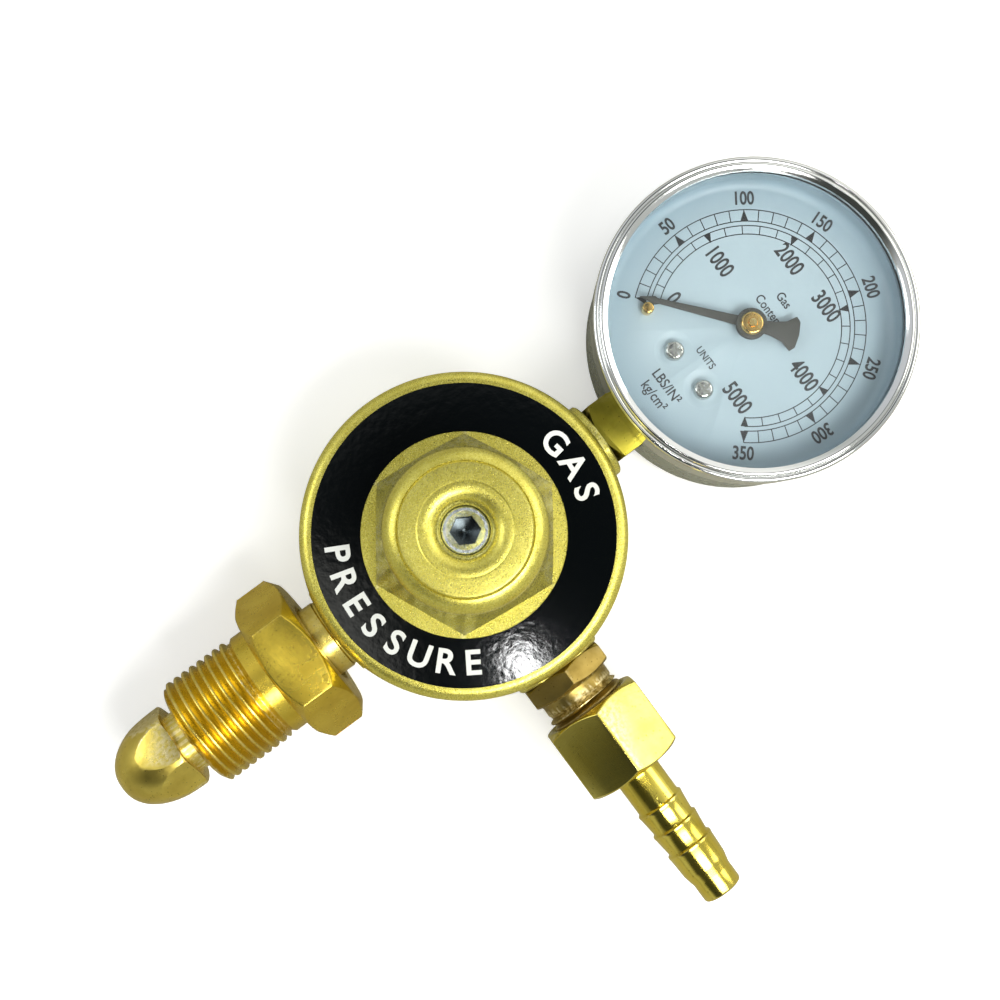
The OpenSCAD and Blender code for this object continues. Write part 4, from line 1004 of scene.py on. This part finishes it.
dial_marks = [scale_line(reach) for reach in (23.2, 20.9, 20.0, 18.3)]
for i in range(36):
    dial_marks.append(scale_tick(scale_angle(i / 35), 20.9, 23.2))
for i in range(26):
    dial_marks.append(scale_tick(scale_angle(i / 25), 18.3, 20.0))
for i in range(8):
    turn = scale_angle(i / 7)
    dial_marks.append(scale_wedge(turn, 20.9, 23.2))
    flip = 90 if i == 7 else -90
    dial_marks.append(lettering("outer_%d" % i, str(50 * i), 3.7, dial_place(turn, 25.4), turn + flip,
                                ink_t, 0.78, 0.024))
inner_places = ((-9.0, -13.2), (2.8, -13.8), (14.3, -5.9), (14.5, 5.9), (2.6, 14.2), (-10.7, 10.0))
for i, (up, right) in enumerate(inner_places):
    dial_marks.append(scale_wedge(scale_angle(i / 5), 20.0, 18.0, 1.5))
    dial_marks.append(lettering("inner_%d" % i, str(1000 * i), 4.5, (gauge_x + up, -right, ink_z), -90,
                                ink_t, 0.72, 0.020))
for words, size, up in (("UNITS", 2.1, -10.9), ("LBS/IN²", 2.9, -20.5), ("kg/cm²", 2.9, -23.6),
                        ("Content", 2.6, 4.9), ("Gas", 2.6, 8.5)):
    dial_marks.append(lettering(words[:3], words, size, (gauge_x + up, 0, ink_z), -90, ink_t, 0.85, 0.012))
dial_print = gather("dial_print", dial_marks)
dress(dial_print, flat_ink("black_print", (0.012, 0.012, 0.015, 1)), "regulator")


def pan_head(name, reach, height, at, turn):
    """A domed screw head with a cross slot, on the dial."""
    head = turned(name, [
        (0, -0.3), (reach, -0.3)] + bow((reach - height * 0.7, height * 0.3), height * 0.7, 0, 80, 8)
        + [(0, height)], steps=64)
    for spin in (0, 90):
        slot = bar("slot", (0, 0, height), (reach * 1.5, 0.55, height * 0.9), spin)
        combine(head, slot, "DIFFERENCE")
    return settle(head, at, turn)


nickel = plated_steel("nickel_screw", (0.78, 0.78, 0.74, 1), 0.16, marks=1500.0)
heads = [pan_head("dial_screw", 2, 1.3, (gauge_x + dial_screw_x, side * dial_screw_y, dial_top),
                  30 + 25 * side)
         for side in (-1, 1)]
dial_screws = gather("dial_screw_heads", heads)
dress(dial_screws, nickel, "regulator")
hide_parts("dial_screws")

# ---- Stop pin: a small domed brass pin riveted into the dial, which the pointer rests against
# when there is no pressure.
dial_brass = bare_brass("dial_brass", (0.90, 0.60, 0.20, 1), (0.70, 0.46, 0.15, 1), (0, 0, 1), (1, 1, 1),
    roughness=0.14)
stop_pin = turned("stop_pin", [
    (0, dial_top - 0.5), (0.62, dial_top - 0.5), (0.62, dial_top - 0.02), (1.2, dial_top),
    (1.2, dial_top + 1.9)] + bow((0.75, dial_top + 1.92), 0.45, 0, 85, 6) + [(0, dial_top + 2.4)],
    steps=48)
settle(stop_pin, dial_place(sweep / 2 + 5, 20.5, 0))
dress(stop_pin, dial_brass, "regulator")
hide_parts("stop_pin")

# ---- Pointer: thin sheet stamped to a spear with a fan-shaped counterweight, sprayed dark grey,
# riveted under a brass hub that is pressed on the pinion's arbor.
pointer_z = 26.8
pointer_paint = flat_ink("pointer_paint", (0.035, 0.035, 0.03, 1), 0.55)


def stamped(name, outline, low, high):
    """A flat plate along the outline's (x, y) points, between two heights."""
    plate = drawn(name, [(x, y, low) for x, y in outline], closed=True)
    bpy.ops.mesh.select_all(action="SELECT")
    bpy.ops.mesh.remove_doubles(threshold=same_point)
    bpy.ops.mesh.edge_face_add()
    bpy.ops.mesh.extrude_region_move(TRANSFORM_OT_translate={"value": (0, 0, (high - low) * MM)})
    face_outwards()
    return plate


fan = [(-4.2, 1.45), (-6.6, 2.1), (-8.4, 3.5), (-9.3, 2.6), (-9.6, 0), (-9.3, -2.6), (-8.4, -3.5),
       (-6.6, -2.1), (-4.2, -1.45)]
spear = stamped("pointer_spear", [
    (22.6, 0), (19.6, 0.75), (19.0, 0.5), (2.5, 0.98), (0, 1.1)] + fan + [(0, -1.1), (2.5, -0.98),
    (19.0, -0.5), (19.6, -0.75)], pointer_z, pointer_z + 0.4)
disc = turned("pointer_disc", [
    (0, pointer_z - 0.4), (2.9, pointer_z - 0.4), (3.1, pointer_z - 0.2), (3.1, pointer_z + 0.6),
    (2.9, pointer_z + 0.8), (0, pointer_z + 0.8)], steps=64)
combine(spear, disc, "UNION")
soften(spear, 0.06, segments=2)
at_gauge(spear, sweep / 2)
dress(spear, pointer_paint, "pointer")
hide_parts("gauge_pointer")

hub = turned("pointer_hub", [
    (0, pointer_z + 0.75), (2.3, pointer_z + 0.75), (2.3, pointer_z + 1.1)] + bow((1.75, pointer_z + 1.1),
    0.5, 10, 90, 6) + [(0.95, pointer_z + 1.6), (0.8, pointer_z + 1.5), (0.78, pointer_z + 1.75),
    (0.6, pointer_z + 1.95), (0, pointer_z + 2.0)], steps=64)
at_gauge(hub)
dress(hub, dial_brass, "pointer")
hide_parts("pointer_hub")

# ---- Inside: the parts that only an opened regulator shows keep their CAD shapes. Springs are
# dark steel, the diaphragm is rubber, the seat is nylon and the rest is machined brass.
hidden_brass = bare_brass("inside_brass", (0.84, 0.60, 0.22, 1), (0.64, 0.44, 0.15, 1), (0, 0, 1), (1, 1, 1))
spring_steel = plated_steel("spring_steel", (0.30, 0.31, 0.32, 1), 0.35)
bronze = plated_steel("sintered_bronze", (0.62, 0.40, 0.22, 1), 0.6, marks=4000.0)
rubber = flat_ink("black_rubber", (0.02, 0.02, 0.02, 1), 0.7)
nylon = flat_ink("nylon", (0.80, 0.76, 0.64, 1), 0.4)
inside = {
    "brass": hidden_brass, "inlet_brass": hidden_brass, "outlet_brass": hidden_brass,
    "stem_brass": stem_brass, "zinc_steel": zinc, "nickel_steel": nickel, "spring_steel": spring_steel,
    "rubber": rubber, "nylon": nylon, "bronze": bronze, "case_metal": case_metal,
}
for row in frame["record"]["subparts"]:
    if row["material_slot"] in inside and not frame["nodes"][row["node"]].hide_render:
        wear_material(row["node"], inside[row["material_slot"]])
